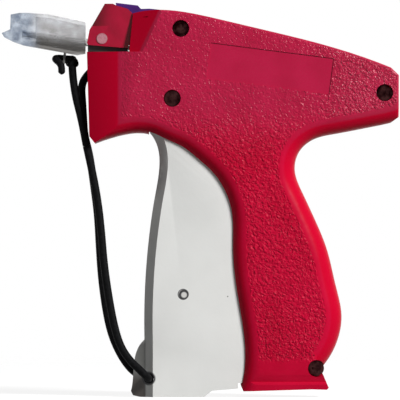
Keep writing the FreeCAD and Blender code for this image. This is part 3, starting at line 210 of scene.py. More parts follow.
def make_leather_grain():
    tree, given, out = new_group(
        "leather_grain",
        [("Vector", "Vector", None), ("Pebble", "Float", 0.001), ("Wander", "Float", 0.5)],
        [("Height", "Float")],
    )
    per_metre = calculate(tree, "DIVIDE", 1.0, given.outputs["Pebble"])
    bend = node(tree, "ShaderNodeTexNoise")
    feed(tree, bend.inputs["Vector"], given.outputs["Vector"])
    feed(tree, bend.inputs["Scale"], calculate(tree, "MULTIPLY", per_metre, 0.55))
    feed(tree, bend.inputs["Detail"], 2.0)
    shift = node(tree, "ShaderNodeVectorMath", operation="SUBTRACT")
    feed(tree, shift.inputs[0], bend.outputs["Color"])
    feed(tree, shift.inputs[1], (0.5, 0.5, 0.5))
    reach = node(tree, "ShaderNodeVectorMath", operation="SCALE")
    feed(tree, reach.inputs[0], shift.outputs[0])
    amount = calculate(tree, "MULTIPLY", given.outputs["Pebble"], given.outputs["Wander"])
    feed(tree, reach.inputs["Scale"], calculate(tree, "MULTIPLY", amount, 2.4))
    bent = node(tree, "ShaderNodeVectorMath", operation="ADD")
    feed(tree, bent.inputs[0], given.outputs["Vector"])
    feed(tree, bent.inputs[1], reach.outputs[0])
    cells = node(tree, "ShaderNodeTexVoronoi", feature="SMOOTH_F1")
    feed(tree, cells.inputs["Vector"], bent.outputs[0])
    feed(tree, cells.inputs["Scale"], per_metre)
    feed(tree, cells.inputs["Smoothness"], 0.35)
    pebble = calculate(tree, "SUBTRACT", 1.0, cells.outputs["Distance"])
    crease = node(tree, "ShaderNodeTexNoise")
    feed(tree, crease.inputs["Vector"], bent.outputs[0])
    feed(tree, crease.inputs["Scale"], calculate(tree, "MULTIPLY", per_metre, 0.8))
    feed(tree, crease.inputs["Detail"], 3.0)
    feed(tree, crease.inputs["Distortion"], 0.8)
    swell = ramp(tree, crease.outputs["Fac"], 0.32, 0.68)
    feed(tree, out.inputs["Height"], calculate(tree, "MULTIPLY_ADD", swell, 0.8, pebble))
    return tree


leather_grain = make_leather_grain()
print("grain group sockets:", [item.name for item in leather_grain.interface.items_tree])

# %% [markdown]
# Moulded plastic is never quite one colour: the melt flows, cools unevenly and leaves paler and deeper
# drifts several millimetres long. Handling leaves a second, finer pattern in the gloss. One group makes
# the drift of the colour and another the drift of the roughness.

# %% Drift groups


def make_colour_drift():
    tree, given, out = new_group(
        "colour_drift",
        [("Vector", "Vector", None), ("Colour", "Color", (0.8, 0.8, 0.8, 1.0)),
         ("Drifted", "Color", (0.7, 0.7, 0.7, 1.0)), ("Length", "Float", 0.012)],
        [("Colour", "Color")],
    )
    cloud = node(tree, "ShaderNodeTexNoise")
    feed(tree, cloud.inputs["Vector"], given.outputs["Vector"])
    feed(tree, cloud.inputs["Scale"], calculate(tree, "DIVIDE", 1.0, given.outputs["Length"]))
    feed(tree, cloud.inputs["Detail"], 4.0)
    share = ramp(tree, cloud.outputs["Fac"], 0.3, 0.7)
    drifted = mix_colours(tree, share, given.outputs["Colour"], given.outputs["Drifted"])
    feed(tree, out.inputs["Colour"], drifted)
    return tree


def make_handled_gloss():
    tree, given, out = new_group(
        "handled_gloss",
        [("Vector", "Vector", None), ("Roughness", "Float", 0.4), ("Change", "Float", 0.1),
         ("Smear", "Float", 0.004)],
        [("Roughness", "Float")],
    )
    smear = node(tree, "ShaderNodeTexNoise")
    feed(tree, smear.inputs["Vector"], given.outputs["Vector"])
    feed(tree, smear.inputs["Scale"], calculate(tree, "DIVIDE", 1.0, given.outputs["Smear"]))
    feed(tree, smear.inputs["Detail"], 5.0)
    feed(tree, smear.inputs["Roughness"], 0.65)
    centred = calculate(tree, "SUBTRACT", smear.outputs["Fac"], 0.5)
    feed(tree, out.inputs["Roughness"],
         calculate(tree, "MULTIPLY_ADD", centred, given.outputs["Change"], given.outputs["Roughness"]))
    return tree


colour_drift = make_colour_drift()
handled_gloss = make_handled_gloss()
print("drift groups:", colour_drift.name, handled_gloss.name)

# %% [markdown]
# ## A base for every finish
# Each finish starts from one physically based shader. What is the same all over the surface, such as its
# coat or its index of refraction, is a plain number on the shader. Only what changes over the surface,
# the colour, the roughness and the relief, is fed by nodes, and every pattern reads Object coordinates.

# %% Start of a finish


def start_finish(name, **plain):
    """New material: its tree, its shader and the object coordinates. Plain values go on the shader."""
    made = bpy.data.materials.new(name)
    made.use_nodes = True
    tree = made.node_tree
    shader = tree.nodes["Principled BSDF"]
    for label, setting in plain.items():
        shader.inputs[label.replace("_", " ")].default_value = setting
    place = node(tree, "ShaderNodeTexCoord").outputs["Object"]
    return made, tree, shader, place


def add_relief(tree, shader, height, depth, strength=1.0):
    """Bump in the shader's normal: height of 1 stands proud by depth, in metres."""
    bump = node(tree, "ShaderNodeBump")
    feed(tree, bump.inputs["Height"], height)
    feed(tree, bump.inputs["Distance"], depth)
    feed(tree, bump.inputs["Strength"], strength)
    feed(tree, shader.inputs["Normal"], bump.outputs["Normal"])


def wear_finish(piece, finish):
    """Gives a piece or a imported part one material."""
    piece.data.materials.clear()
    piece.data.materials.append(finish)


print("finish helpers are ready")

# %% [markdown]
# ## Red body plastic
# Only the flat sides are grained. The rounded bands where the hand goes, the tapered nose and the foot are
# polished, because those faces of the mould were left smooth. The flat sides are exactly the places
# furthest from the centre plane, so the distance across the tool makes the mask. The bare label recess
# lies a third of a millimetre deeper: a wider mask gives it the tone of the sides and none of their grain.
# The barrel's colour is paler and bluer than the grip's: a painted sheen. The barrel also has more specular
# haze, most of all at the tail.
# The grain is deepest at the tail and down the grip. Its height is centred on nothing, so that where the
# mask fades it out no step is left.

# %% Red plastic
GRIP_RED = (0.52, 0.003, 0.034, 1.0)
GRIP_RED_DEEP = (0.45, 0.002, 0.026, 1.0)
# Paler, bluer barrel red: a painted sheen.
BARREL_SHEEN_RED = (0.43, 0.008, 0.050, 1.0)
BARREL_SHEEN_RED_DEEP = (0.37, 0.005, 0.038, 1.0)
BAND_RED = (0.50, 0.001, 0.022, 1.0)
GRAIN_STARTS = SIDE - 0.12 * MM
GRAIN_FULL = SIDE - 0.03 * MM
TONE_STARTS = SIDE - 0.90 * MM
TONE_FULL = SIDE - 0.40 * MM
GRIP_TOP = 0.088
BARREL_BOTTOM = 0.112
TAIL_STARTS = 0.030
TAIL_FULL = 0.062
FOOT_TOP = 0.012
FOOT_BLEND = 4 * MM
PEBBLE = 1.05 * MM
GRAIN_MIDDLE = 0.95
GRAIN_DEPTH = 0.36 * MM
SHALLOW_SHARE = 0.35
BARREL_HAZE = 0.16
LEAST_TAIL = 0.6
SIDE_SHINE = 0.02
BAND_SHINE = 0.04
BAND_ROUGHNESS = 0.27
SIDE_ROUGHNESS_CHANGE = -0.03


def make_red_plastic():
    made, tree, shader, place = start_finish("red_plastic")
    across = calculate(tree, "ABSOLUTE", axes(tree, place)["Y"])
    up = axes(tree, place)["Z"]
    barrel = ramp(tree, up, GRIP_TOP, BARREL_BOTTOM)
    tail = ramp(tree, axes(tree, place)["X"], TAIL_STARTS, TAIL_FULL)
    side_tone = ramp(tree, across, TONE_STARTS, TONE_FULL)
    flat_side = calculate(tree, "MULTIPLY", ramp(tree, across, GRAIN_STARTS, GRAIN_FULL),
                          ramp(tree, up, FOOT_TOP, FOOT_TOP + FOOT_BLEND))
    grip = use_group(tree, colour_drift, Vector=place, Colour=GRIP_RED, Drifted=GRIP_RED_DEEP,
                     Length=16 * MM)
    barrel_sheen_tone = use_group(tree, colour_drift, Vector=place, Colour=BARREL_SHEEN_RED, Drifted=BARREL_SHEEN_RED_DEEP,
                    Length=14 * MM)
    side = mix_colours(tree, barrel, grip.outputs["Colour"], barrel_sheen_tone.outputs["Colour"])
    # The flat sides' paler, bluer tone, strongest on the barrel, is a painted sheen.
    feed(tree, shader.inputs["Base Color"], mix_colours(tree, side_tone, BAND_RED, side))
    most_at_tail = calculate(tree, "MAXIMUM", tail, LEAST_TAIL)
    hazy = calculate(tree, "MULTIPLY", most_at_tail, calculate(tree, "MULTIPLY", barrel, BARREL_HAZE))
    haze = calculate(tree, "ADD", hazy, SIDE_SHINE)
    shine = calculate(tree, "MULTIPLY_ADD", side_tone, haze, BAND_SHINE)
    feed(tree, shader.inputs["Specular IOR Level"], shine)
    satin = calculate(tree, "MULTIPLY_ADD", flat_side, SIDE_ROUGHNESS_CHANGE, BAND_ROUGHNESS)
    gloss = use_group(tree, handled_gloss, Vector=place, Roughness=satin, Change=0.16, Smear=6 * MM)
    feed(tree, shader.inputs["Roughness"], gloss.outputs["Roughness"])
    grain = use_group(tree, leather_grain, Vector=place, Pebble=PEBBLE, Wander=0.6)
    deeper = calculate(tree, "MAXIMUM", tail, calculate(tree, "SUBTRACT", 1.0, barrel))
    share = calculate(tree, "MULTIPLY_ADD", deeper, 1 - SHALLOW_SHARE, SHALLOW_SHARE)
    depth = calculate(tree, "MULTIPLY", flat_side, share)
    centred = calculate(tree, "SUBTRACT", grain.outputs["Height"], GRAIN_MIDDLE)
    add_relief(tree, shader, calculate(tree, "MULTIPLY", centred, depth), GRAIN_DEPTH)
    return made


red_plastic = make_red_plastic()
print("red plastic nodes:", len(red_plastic.node_tree.nodes))

# %% [markdown]
# ## Glossy plastics
# The nose cover and the release lever come from polished moulds. They differ from the body in gloss more
# than in colour, so a thin clear coat carries the sharp highlights while the pigment stays below it.

# %% Glossy plastics


def make_glossy_plastic(name, colour, deep, roughness, coat):
    made, tree, shader, place = start_finish(name, Coat_Weight=coat, Coat_Roughness=0.06,
                                             Specular_IOR_Level=0.08)
    tone = use_group(tree, colour_drift, Vector=place, Colour=colour, Drifted=deep, Length=0.006)
    feed(tree, shader.inputs["Base Color"], tone.outputs["Colour"])
    gloss = use_group(tree, handled_gloss, Vector=place, Roughness=roughness, Change=0.12, Smear=0.002)
    feed(tree, shader.inputs["Roughness"], gloss.outputs["Roughness"])
    ripple = node(tree, "ShaderNodeTexNoise")
    feed(tree, ripple.inputs["Vector"], place)
    feed(tree, ripple.inputs["Scale"], 220.0)
    add_relief(tree, shader, ripple.outputs["Fac"], 0.12 * MM, 0.35)
    return made


cover_plastic = make_glossy_plastic("cover_plastic", (0.38, 0.002, 0.030, 1), (0.31, 0.001, 0.022, 1),
                                    roughness=0.22, coat=0.2)
blue_plastic = make_glossy_plastic("blue_plastic", (0.075, 0.018, 0.19, 1), (0.045, 0.010, 0.12, 1),
                                   roughness=0.28, coat=0.12)
print("glossy finishes:", cover_plastic.name, blue_plastic.name)

# %% [markdown]
# ## White trigger plastic
# A white moulding is slightly grey and satin. It shows its shape by soft shading alone, so its colour
# drifts very little and its relief is only the faint orange peel of the mould. Rings of painted shade lie
# round the cross pin and round the strap's hole, and one small spot is dark: each mark is a band at a given
# distance from its centre. The front of the toe is painted darker, most of all towards the bottom: painted
# shade.

# %% White plastic
PIN_CENTRE = (-6.3 * MM, 0.0, 38.6 * MM)
PIN_SHADE = (-6.0 * MM, 0.0, 38.4 * MM)
STRAP_HOLE = (-19.3 * MM, 0.0, 7.0 * MM)
SPOT_CENTRE = (10.4 * MM, 0.0, 37.8 * MM)
PAINTED_SHADE_AND_SPOT = (0.03, 0.03, 0.032, 1)
TOE_SHADE_LOW = (0.085, 0.075, 0.068, 1)
TOE_SHADE_HIGH = (0.24, 0.24, 0.23, 1)
TOE_SHADE_EDGE = (-20.9 * MM, -20.1 * MM)
TOE_SHADE_TOP = (19.5 * MM, 22.5 * MM)
TOE_SHADE_FADE = (5.5 * MM, 10.5 * MM)
# Rings of painted shade round the cross pin and the strap's hole, and one small dark spot.
SHADE_RINGS_AND_SPOT = [
    (PIN_CENTRE, 1.85 * MM, 0.35 * MM),
    (STRAP_HOLE, 2.0 * MM, 0.9 * MM),
    (SPOT_CENTRE, 0.0, 0.35 * MM),
]


def dark_mark_share(tree, place, marks):
    """Share of dark marks: rings of painted shade and a spot. Each mark is (centre, radius of the ring, half
    its width), seen along the pins.
    """
    flat = node(tree, "ShaderNodeCombineXYZ")
    for axis in "XZ":
        feed(tree, flat.inputs[axis], axes(tree, place)[axis])
    share = 0.0
    for centre, ring, width in marks:
        away = node(tree, "ShaderNodeVectorMath", operation="DISTANCE")
        feed(tree, away.inputs[0], flat.outputs[0])
        feed(tree, away.inputs[1], centre)
        off = calculate(tree, "ABSOLUTE", calculate(tree, "SUBTRACT", away.outputs["Value"], ring))
        share = calculate(tree, "MAXIMUM", share, falling(tree, off, 0.3 * width, width))
    return share


def make_white_plastic():
    made, tree, shader, place = start_finish("white_plastic", Specular_IOR_Level=0.35)
    tone = use_group(tree, colour_drift, Vector=place, Colour=(0.74, 0.745, 0.725, 1),
                     Drifted=(0.70, 0.705, 0.685, 1), Length=0.02)
    up = axes(tree, place)["Z"]
    # Painted shade: the toe's front is darker, most of all at the bottom.
    in_front = falling(tree, axes(tree, place)["X"], *TOE_SHADE_EDGE)
    low = falling(tree, up, *TOE_SHADE_TOP)
    toe_shade = mix_colours(tree, ramp(tree, up, *TOE_SHADE_FADE), TOE_SHADE_LOW, TOE_SHADE_HIGH)
    toe_shaded_tone = mix_colours(tree, calculate(tree, "MULTIPLY", in_front, low), tone.outputs["Colour"], toe_shade)
    feed(tree, shader.inputs["Base Color"],
         mix_colours(tree, dark_mark_share(tree, place, SHADE_RINGS_AND_SPOT), toe_shaded_tone, PAINTED_SHADE_AND_SPOT))
    gloss = use_group(tree, handled_gloss, Vector=place, Roughness=0.42, Change=0.15, Smear=0.005)
    feed(tree, shader.inputs["Roughness"], gloss.outputs["Roughness"])
    peel = node(tree, "ShaderNodeTexNoise")
    feed(tree, peel.inputs["Vector"], place)
    feed(tree, peel.inputs["Scale"], 900.0)
    feed(tree, peel.inputs["Detail"], 3.0)
    add_relief(tree, shader, peel.outputs["Fac"], 0.05 * MM, 0.4)
    return made


white_plastic = make_white_plastic()
print("white plastic is ready")

# %% [markdown]
# ## Clear cap plastic
# The cap is clear but not clean: it is scuffed, so it scatters a little light and looks milky. Its thick
# closed end is painted a darker, mottled blue grey, a painted shade of the light bent through it, and below
# the needle line it is painted a streaky brown grey, a painted shade standing for the needle seen through it.
# Two masks place those tones: one runs along the tool, and the other is the height
# above the barrel line, which is z cos a + x sin a for a line that climbs forwards by the angle a.

# %% Clear plastic
CAP_TILT = math.radians(7.3)
CAP_LINE = 0.1268
NEEDLE_SHADE_BAND = (-2.8 * MM, 2.2 * MM)
CLOSED_END = (-65.5 * MM, -59.0 * MM)
NEEDLE_SHADE_GREY = (0.15, 0.14, 0.13, 1)


def make_clear_plastic():
    made, tree, shader, place = start_finish("clear_plastic", Transmission_Weight=0.80, IOR=1.46,
                                             Specular_IOR_Level=0.5)
    along = axes(tree, place)["X"]
    height = calculate(tree, "MULTIPLY_ADD", axes(tree, place)["Z"], math.cos(CAP_TILT),
                       calculate(tree, "MULTIPLY", along, math.sin(CAP_TILT)))
    above = calculate(tree, "SUBTRACT", height, CAP_LINE)
    stretch = node(tree, "ShaderNodeMapping")
    feed(tree, stretch.inputs["Vector"], place)
    feed(tree, stretch.inputs["Rotation"], (0.0, CAP_TILT, 0.0))
    feed(tree, stretch.inputs["Scale"], (90.0, 500.0, 900.0))
    streaks = node(tree, "ShaderNodeTexNoise")
    feed(tree, streaks.inputs["Vector"], stretch.outputs[0])
    feed(tree, streaks.inputs["Scale"], 1.0)
    feed(tree, streaks.inputs["Detail"], 3.0)
    # Painted shade: below the needle line the cap is a streaky brown grey, standing for the needle seen
    # through it.
    needle_shade_share = falling(tree, above, *NEEDLE_SHADE_BAND)
    streaky_needle_shade = calculate(tree, "MULTIPLY", needle_shade_share, ramp(tree, streaks.outputs["Fac"], 0.15, 0.5))
    # Painted shade: the thick closed end is a darker, mottled blue grey.
    closed_end = falling(tree, along, *CLOSED_END)
    end_shade_mottle = use_group(tree, colour_drift, Vector=place, Colour=(0.62, 0.68, 0.76, 1),
                       Drifted=(0.12, 0.16, 0.24, 1), Length=0.0030)
    tone = use_group(tree, colour_drift, Vector=place, Colour=(0.86, 0.87, 0.90, 1),
                     Drifted=(0.58, 0.57, 0.56, 1), Length=0.004)
    clear = mix_colours(tree, streaky_needle_shade, tone.outputs["Colour"], NEEDLE_SHADE_GREY)
    feed(tree, shader.inputs["Base Color"], mix_colours(tree, closed_end, clear, end_shade_mottle.outputs["Colour"]))
    gloss = use_group(tree, handled_gloss, Vector=place, Roughness=0.10, Change=0.16, Smear=0.003)
    feed(tree, shader.inputs["Roughness"], gloss.outputs["Roughness"])
    wave = node(tree, "ShaderNodeTexNoise")
    feed(tree, wave.inputs["Vector"], place)
    feed(tree, wave.inputs["Scale"], 260.0)
    feed(tree, wave.inputs["Detail"], 2.0)
    add_relief(tree, shader, wave.outputs["Fac"], 0.25 * MM, 0.5)
    return made


clear_plastic = make_clear_plastic()
print("clear plastic is ready")

# %% [markdown]
# ## Metals and the black inner mouldings
# Drawn steel has fine lines along its length. The rods, pins and screws are small, so a stretched noise
# that makes both the lines of the roughness and a slight change of grey is enough. The screws' colour is a
# painted shade, dark red like the shade of their recesses, and the cover's pins are tinted pink, a painted
# reflection of the red plastic. The inner parts are moulded black, with a dull, slightly dusty skin.

# %% Metals and black plastic


def make_metal(name, colour, dull, roughness, line):
    made, tree, shader, place = start_finish(name, Metallic=1.0)
    stretch = node(tree, "ShaderNodeMapping")
    feed(tree, stretch.inputs["Vector"], place)
    feed(tree, stretch.inputs["Scale"], line)
    scratches = node(tree, "ShaderNodeTexNoise")
    feed(tree, scratches.inputs["Vector"], stretch.outputs[0])
    feed(tree, scratches.inputs["Scale"], 1500.0)
    feed(tree, scratches.inputs["Detail"], 4.0)
    share = ramp(tree, scratches.outputs["Fac"], 0.35, 0.7)
    feed(tree, shader.inputs["Base Color"], mix_colours(tree, share, colour, dull))
    feed(tree, shader.inputs["Roughness"], calculate(tree, "MULTIPLY_ADD", share, 0.18, roughness))
    add_relief(tree, shader, scratches.outputs["Fac"], 0.02 * MM, 0.4)
    return made


def make_black_plastic():
    made, tree, shader, place = start_finish("black_plastic", Specular_IOR_Level=0.3)
    tone = use_group(tree, colour_drift, Vector=place, Colour=(0.018, 0.018, 0.019, 1),
                     Drifted=(0.032, 0.031, 0.030, 1), Length=0.003)
    feed(tree, shader.inputs["Base Color"], tone.outputs["Colour"])
    gloss = use_group(tree, handled_gloss, Vector=place, Roughness=0.55, Change=0.2, Smear=0.002)
    feed(tree, shader.inputs["Roughness"], gloss.outputs["Roughness"])
    return made


steel = make_metal("steel", (0.66, 0.65, 0.64, 1), (0.48, 0.47, 0.46, 1), 0.22, (0.15, 1, 1))
# Painted shade: the screws' dark red stands for the shade of their recesses.
screw_steel_painted_shade = make_metal("screw_steel_painted_shade", (0.05, 0.018, 0.018, 1), (0.012, 0.002, 0.003, 1), 0.25,
                         (0.25, 1, 0.25))
# Painted reflection: the cover's pins are tinted pink by the red plastic round them.
steel_painted_red_reflection = make_metal("steel_painted_red_reflection", (0.46, 0.21, 0.24, 1), (0.34, 0.13, 0.16, 1), 0.26, (0.5, 1, 0.5))
spring_steel = make_metal("spring_steel", (0.42, 0.42, 0.44, 1), (0.30, 0.30, 0.31, 1), 0.28, (1, 1, 1))
black_plastic = make_black_plastic()


def make_pin_end():
    """White finish of the cross pin's end, with a crescent of painted shade along its rim."""
    made, tree, shader, place = start_finish("pin_end", Specular_IOR_Level=0.3, Roughness=0.4)
    share = dark_mark_share(tree, place, [(PIN_SHADE, 1.55 * MM, 0.75 * MM)])
    feed(tree, shader.inputs["Base Color"], mix_colours(tree, share, (0.62, 0.61, 0.59, 1), PAINTED_SHADE_AND_SPOT))
    return made


pin_end = make_pin_end()
print("metals:", steel.name, spring_steel.name)

# %% [markdown]
# ## Covered elastic
# The strap is a rubber core in a woven black cover. Its braid is real relief in the mesh, so the finish
# only adds the sheen of the yarns. The yarn colour follows the strap's own UV map: one direction runs
# round the strap and the other along it, in metres.

# %% Elastic


def make_elastic():
    made, tree, shader, _ = start_finish("elastic", Specular_IOR_Level=0.04, Sheen_Weight=0.03,
                                         Sheen_Roughness=0.4)
    along = node(tree, "ShaderNodeUVMap", uv_map="strap")
    yarn = node(tree, "ShaderNodeTexNoise")
    stretch = node(tree, "ShaderNodeMapping")
    feed(tree, stretch.inputs["Vector"], along.outputs["UV"])
    feed(tree, stretch.inputs["Scale"], (24.0, 900.0, 1.0))
    feed(tree, yarn.inputs["Vector"], stretch.outputs[0])
    feed(tree, yarn.inputs["Scale"], 1.0)
    feed(tree, yarn.inputs["Detail"], 3.0)
    share = ramp(tree, yarn.outputs["Fac"], 0.35, 0.75)
    feed(tree, shader.inputs["Base Color"],
         mix_colours(tree, share, (0.002, 0.002, 0.0022, 1), (0.010, 0.010, 0.011, 1)))
    feed(tree, shader.inputs["Roughness"], calculate(tree, "MULTIPLY_ADD", share, 0.2, 0.55))
    return made


elastic = make_elastic()
print("elastic is ready")

# %% [markdown]
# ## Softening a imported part
# No moulded edge is perfectly sharp, and it is the rounded edge that catches the light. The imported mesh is
# loose triangles, so a copy is joined and its flat faces are made whole first. A Bevel modifier then rounds
# what is sharper than the angle given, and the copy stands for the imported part.

# %% Softened copies
EDGE_ANGLE = math.radians(28)


def soften(name, body, finish, width, segments=2):
    """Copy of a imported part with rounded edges, which replaces it."""
    shape = bmesh.new()
    shape.from_mesh(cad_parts[name].data)
    bmesh.ops.remove_doubles(shape, verts=shape.verts, dist=1e-6)
    bmesh.ops.dissolve_limit(shape, angle_limit=math.radians(0.4), verts=shape.verts, edges=shape.edges)
    mesh = bpy.data.meshes.new(name + "_finished")
    shape.to_mesh(mesh)
    shape.free()
    mesh.shade_smooth()
    mesh.set_sharp_from_angle(angle=EDGE_ANGLE)
    piece = bpy.data.objects.new(name + "_finished", mesh)
    scene.collection.objects.link(piece)
    rounding = piece.modifiers.new("edge_rounding", "BEVEL")
    rounding.width = width
    rounding.segments = segments
    rounding.limit_method = "ANGLE"
    rounding.angle_limit = EDGE_ANGLE
    rounding.harden_normals = True
    wear_finish(piece, finish)
    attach(piece, body)
    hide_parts(name)
    print(name, "faces:", len(mesh.polygons))
    return piece


soften("near_shell", "housing", red_plastic, 0.22 * MM)
soften("far_shell", "housing", red_plastic, 0.22 * MM)
soften("nose_cover", "nose_cover", cover_plastic, 0.35 * MM, 3)
soften("release_lever", "release_lever", blue_plastic, 0.40 * MM, 3)
soften("trigger", "trigger", white_plastic, 0.30 * MM)
soften("needle_cap", "needle_cap", clear_plastic, 0.45 * MM, 3)

# %% [markdown]
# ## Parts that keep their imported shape
# Pins, rods, screws and the inner mouldings are right as they are. They only need their finish.

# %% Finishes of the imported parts
PACKED_FINISHES = [
    (screw_steel_painted_shade, ["shell_screws"]),
    (steel_painted_red_reflection, ["cover_hinge_pins"]),
    (steel, ["needle", "cutter_blade", "roller_pin", "trigger_pivot_pin", "lever_pivot_pin", "drive_pin",
             "guide_rods", "ejector_rod", "feed_shaft", "release_lever_pin", "drive_lever"]),
    (pin_end, ["trigger_cross_pin"]),
    (spring_steel, ["detent_leaf"]),
    (black_plastic, ["guide_block", "needle_base", "carriage", "front_rod_holder", "rear_rod_holder",
                     "feed_wheel", "trigger_roller"]),
    (cover_plastic, ["strap_anchor"]),
]
for finish, names in PACKED_FINISHES:
    for name in names:
        wear_finish(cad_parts[name], finish)
print("packed parts with a finish:", sum(len(names) for _, names in PACKED_FINISHES))

# %% [markdown]
# ## A tube along a path
# Strap, loop and springs are all a round section carried along a line. At each point of the line a frame
# of two directions square to it is turned as little as possible from the one before, so that the surface
# doesn't twist. The section is then a circle in that frame, worked out for all points at once.

# %% Tube surfaces


def smooth_line(route):
    """Points of the smooth spline that a route of control points draws, in order."""
    data = bpy.data.curves.new("route", "CURVE")
    data.dimensions = "3D"
    data.resolution_u = 16
    spline = data.splines.new("NURBS")
    spline.points.add(len(route) - 1)
    spline.points.foreach_set("co", np.column_stack([route, np.ones(len(route))]).ravel())
    spline.order_u = 3
    spline.use_endpoint_u = True
    holder = bpy.data.objects.new("route", data)
    mesh = bpy.data.meshes.new_from_object(holder)
    points = np.empty(len(mesh.vertices) * 3)
    mesh.vertices.foreach_get("co", points)
    bpy.data.objects.remove(holder)
    bpy.data.curves.remove(data)
    bpy.data.meshes.remove(mesh)
    return points.reshape(-1, 3)


def evenly(points, spacing):
    """The same line with points a fixed spacing apart, found by its running length."""
    steps = np.linalg.norm(np.diff(points, axis=0), axis=1)
    run = np.concatenate([[0.0], np.cumsum(steps)])
    wanted = np.linspace(0.0, run[-1], max(3, int(round(run[-1] / spacing)) + 1))
    return np.column_stack([np.interp(wanted, run, points[:, axis]) for axis in range(3)]), wanted


def square_frames(points):
    """Unit directions square to the line at each point, each one the last turned by the least amount."""
    along = np.gradient(points, axis=0)
    along /= np.linalg.norm(along, axis=1)[:, None]
    first = np.cross(along[0], [0.0, 1.0, 0.0])
    if np.linalg.norm(first) < 0.1:
        first = np.cross(along[0], [1.0, 0.0, 0.0])
    sides = [first / np.linalg.norm(first)]
    for direction in along[1:]:
        side = sides[-1] - direction * np.dot(sides[-1], direction)
        sides.append(side / np.linalg.norm(side))
    sides = np.array(sides)
    return sides, np.cross(along, sides)


def tube_mesh(name, points, radius, around):
    """Tube whose radius is a table of rings by points around. Its UV map holds the turn and the length."""
    rings = len(points)
    side, up = square_frames(points)
    turn = np.arange(around) * 2 * math.pi / around
    section = np.cos(turn)[None, :, None] * side[:, None, :] + np.sin(turn)[None, :, None] * up[:, None, :]
    reach = np.broadcast_to(radius, (rings, around))[:, :, None]
    verts = (points[:, None, :] + section * reach).reshape(-1, 3)
    ring, step = np.meshgrid(np.arange(rings - 1), np.arange(around), indexing="ij")
    after = (step + 1) % around
    quads = np.stack([ring * around + step, ring * around + after, (ring + 1) * around + after,
                      (ring + 1) * around + step], axis=-1).reshape(-1, 4)
    faces = quads.tolist()
    faces.append(list(range(around))[::-1])
    faces.append([(rings - 1) * around + number for number in range(around)])
    mesh = bpy.data.meshes.new(name)
    mesh.from_pydata(verts.tolist(), [], faces)
    lengths = np.concatenate([[0.0], np.cumsum(np.linalg.norm(np.diff(points, axis=0), axis=1))])
    loops = np.empty(len(mesh.loops), dtype=np.int64)
    mesh.loops.foreach_get("vertex_index", loops)
    uv = np.column_stack([(loops % around) / around, lengths[loops // around]])
    layer = mesh.uv_layers.new(name="strap")
    layer.data.foreach_set("uv", uv.ravel())
    mesh.shade_smooth()
    piece = bpy.data.objects.new(name, mesh)
    scene.collection.objects.link(piece)
    return piece


print("tube helpers are ready")

# %% [markdown]
# ## The elastic strap
# The strap is doubled: from the cap's lug one strand runs down the near side to the hole in the trigger's
# toe, and it comes back up on the far side to its anchor on the nose. It is soft but under light tension,
# so it lies in long easy curves. Its cover is a braid, two sets of yarns that wind in opposite directions,
# and their crossings make small diamonds. The radius therefore carries the product of two waves.

# %% Braided strands
STRAP = 3.0 * MM
YARNS = 10
PITCH = 8.5 * MM
BRAID_DEPTH = 0.05
AROUND = 40
RING_SPACING = 0.32 * MM
PLUG = 3.4 * MM
PLUG_GROWTH = 1.2 * MM
PLUG_SWELL = 0.30

STRAP_UPPER = np.array([
    (-48.1, -0.2, 124.4), (-47.9, -1.0, 120.5), (-46.8, -1.9, 113.0), (-45.2, -2.4, 106.8),
    (-43.9, -2.7, 101.0), (-42.7, -2.9, 94.5)]) * MM
STRAP_NEAR = np.array([
    (-42.66, -2.91, 94.3), (-40.1, -3.5, 83.0), (-38.1, -4.8, 71.5), (-37.0, -6.0, 61.0), (-36.1, -7.0, 50.0),
    (-34.3, -8.2, 37.5), (-32.1, -9.6, 26.0), (-29.6, -11.0, 18.4), (-25.8, -11.6, 13.2),
    (-22.9, -12.0, 10.6), (-21.1, -12.2, 8.85), (-20.0, -11.5, 7.7), (-19.3, -10.0, 7.0),
    (-19.3, -5.2, 7.0)]) * MM
STRAP_FAR = np.array([
    (-40.7, 9.37, 123.1), (-43.6, 8.1, 120.2), (-44.8, 6.0, 116.4), (-44.4, 4.8, 111.5), (-44.0, 4.1, 105.0),
    (-43.6, 3.7, 98.5), (-41.6, 3.4, 91.0), (-40.1, 3.9, 80.5), (-38.5, 4.7, 68.5), (-37.9, 5.5, 56.5),
    (-37.1, 6.5, 44.5), (-35.5, 7.7, 32.5), (-33.6, 8.8, 23.8), (-31.0, 10.1, 17.4), (-27.9, 11.3, 12.2),
    (-24.9, 12.0, 8.9), (-21.85, 12.2, 7.25), (-20.3, 11.5, 7.1), (-19.3, 10.0, 7.0),
    (-19.3, 5.2, 7.0)]) * MM


def braided(name, line, thickness=STRAP, shrink_ends=False, plug=0.0):
    """Tube with the relief of a braid: radius = half the thickness, less a share where no yarn crosses.
    A plug is the length at the end over which the strap is bunched up to fill its hole."""
    points, lengths = evenly(line, RING_SPACING)
    turn = np.arange(AROUND)[None, :] * 2 * math.pi / AROUND
    wind = 2 * math.pi * lengths[:, None] / PITCH
    crossings = np.cos(YARNS / 2 * (turn + wind)) * np.cos(YARNS / 2 * (turn - wind))
    radius = thickness / 2 * (1 - BRAID_DEPTH * (1 - np.abs(crossings)))
    if shrink_ends:
        reach = np.minimum(lengths, lengths[-1] - lengths)[:, None]
        radius = radius * np.sqrt(np.clip(reach / (thickness / 3), 0.03, 1))
    if plug:
        bunched = np.clip((lengths - lengths[-1] + plug) / PLUG_GROWTH, 0, 1)[:, None]
        radius = radius * (1 + PLUG_SWELL * bunched)
    piece = tube_mesh(name, points, radius, AROUND)
    wear_finish(piece, elastic)
    return piece, points


upper_strand, upper_path = braided("upper_strand", smooth_line(STRAP_UPPER))
near_strand, near_path = braided("near_strand", smooth_line(STRAP_NEAR), plug=PLUG)
far_strand, far_path = braided("far_strand", smooth_line(STRAP_FAR), plug=PLUG)
print("strand rings:", len(upper_path), len(near_path), len(far_path))

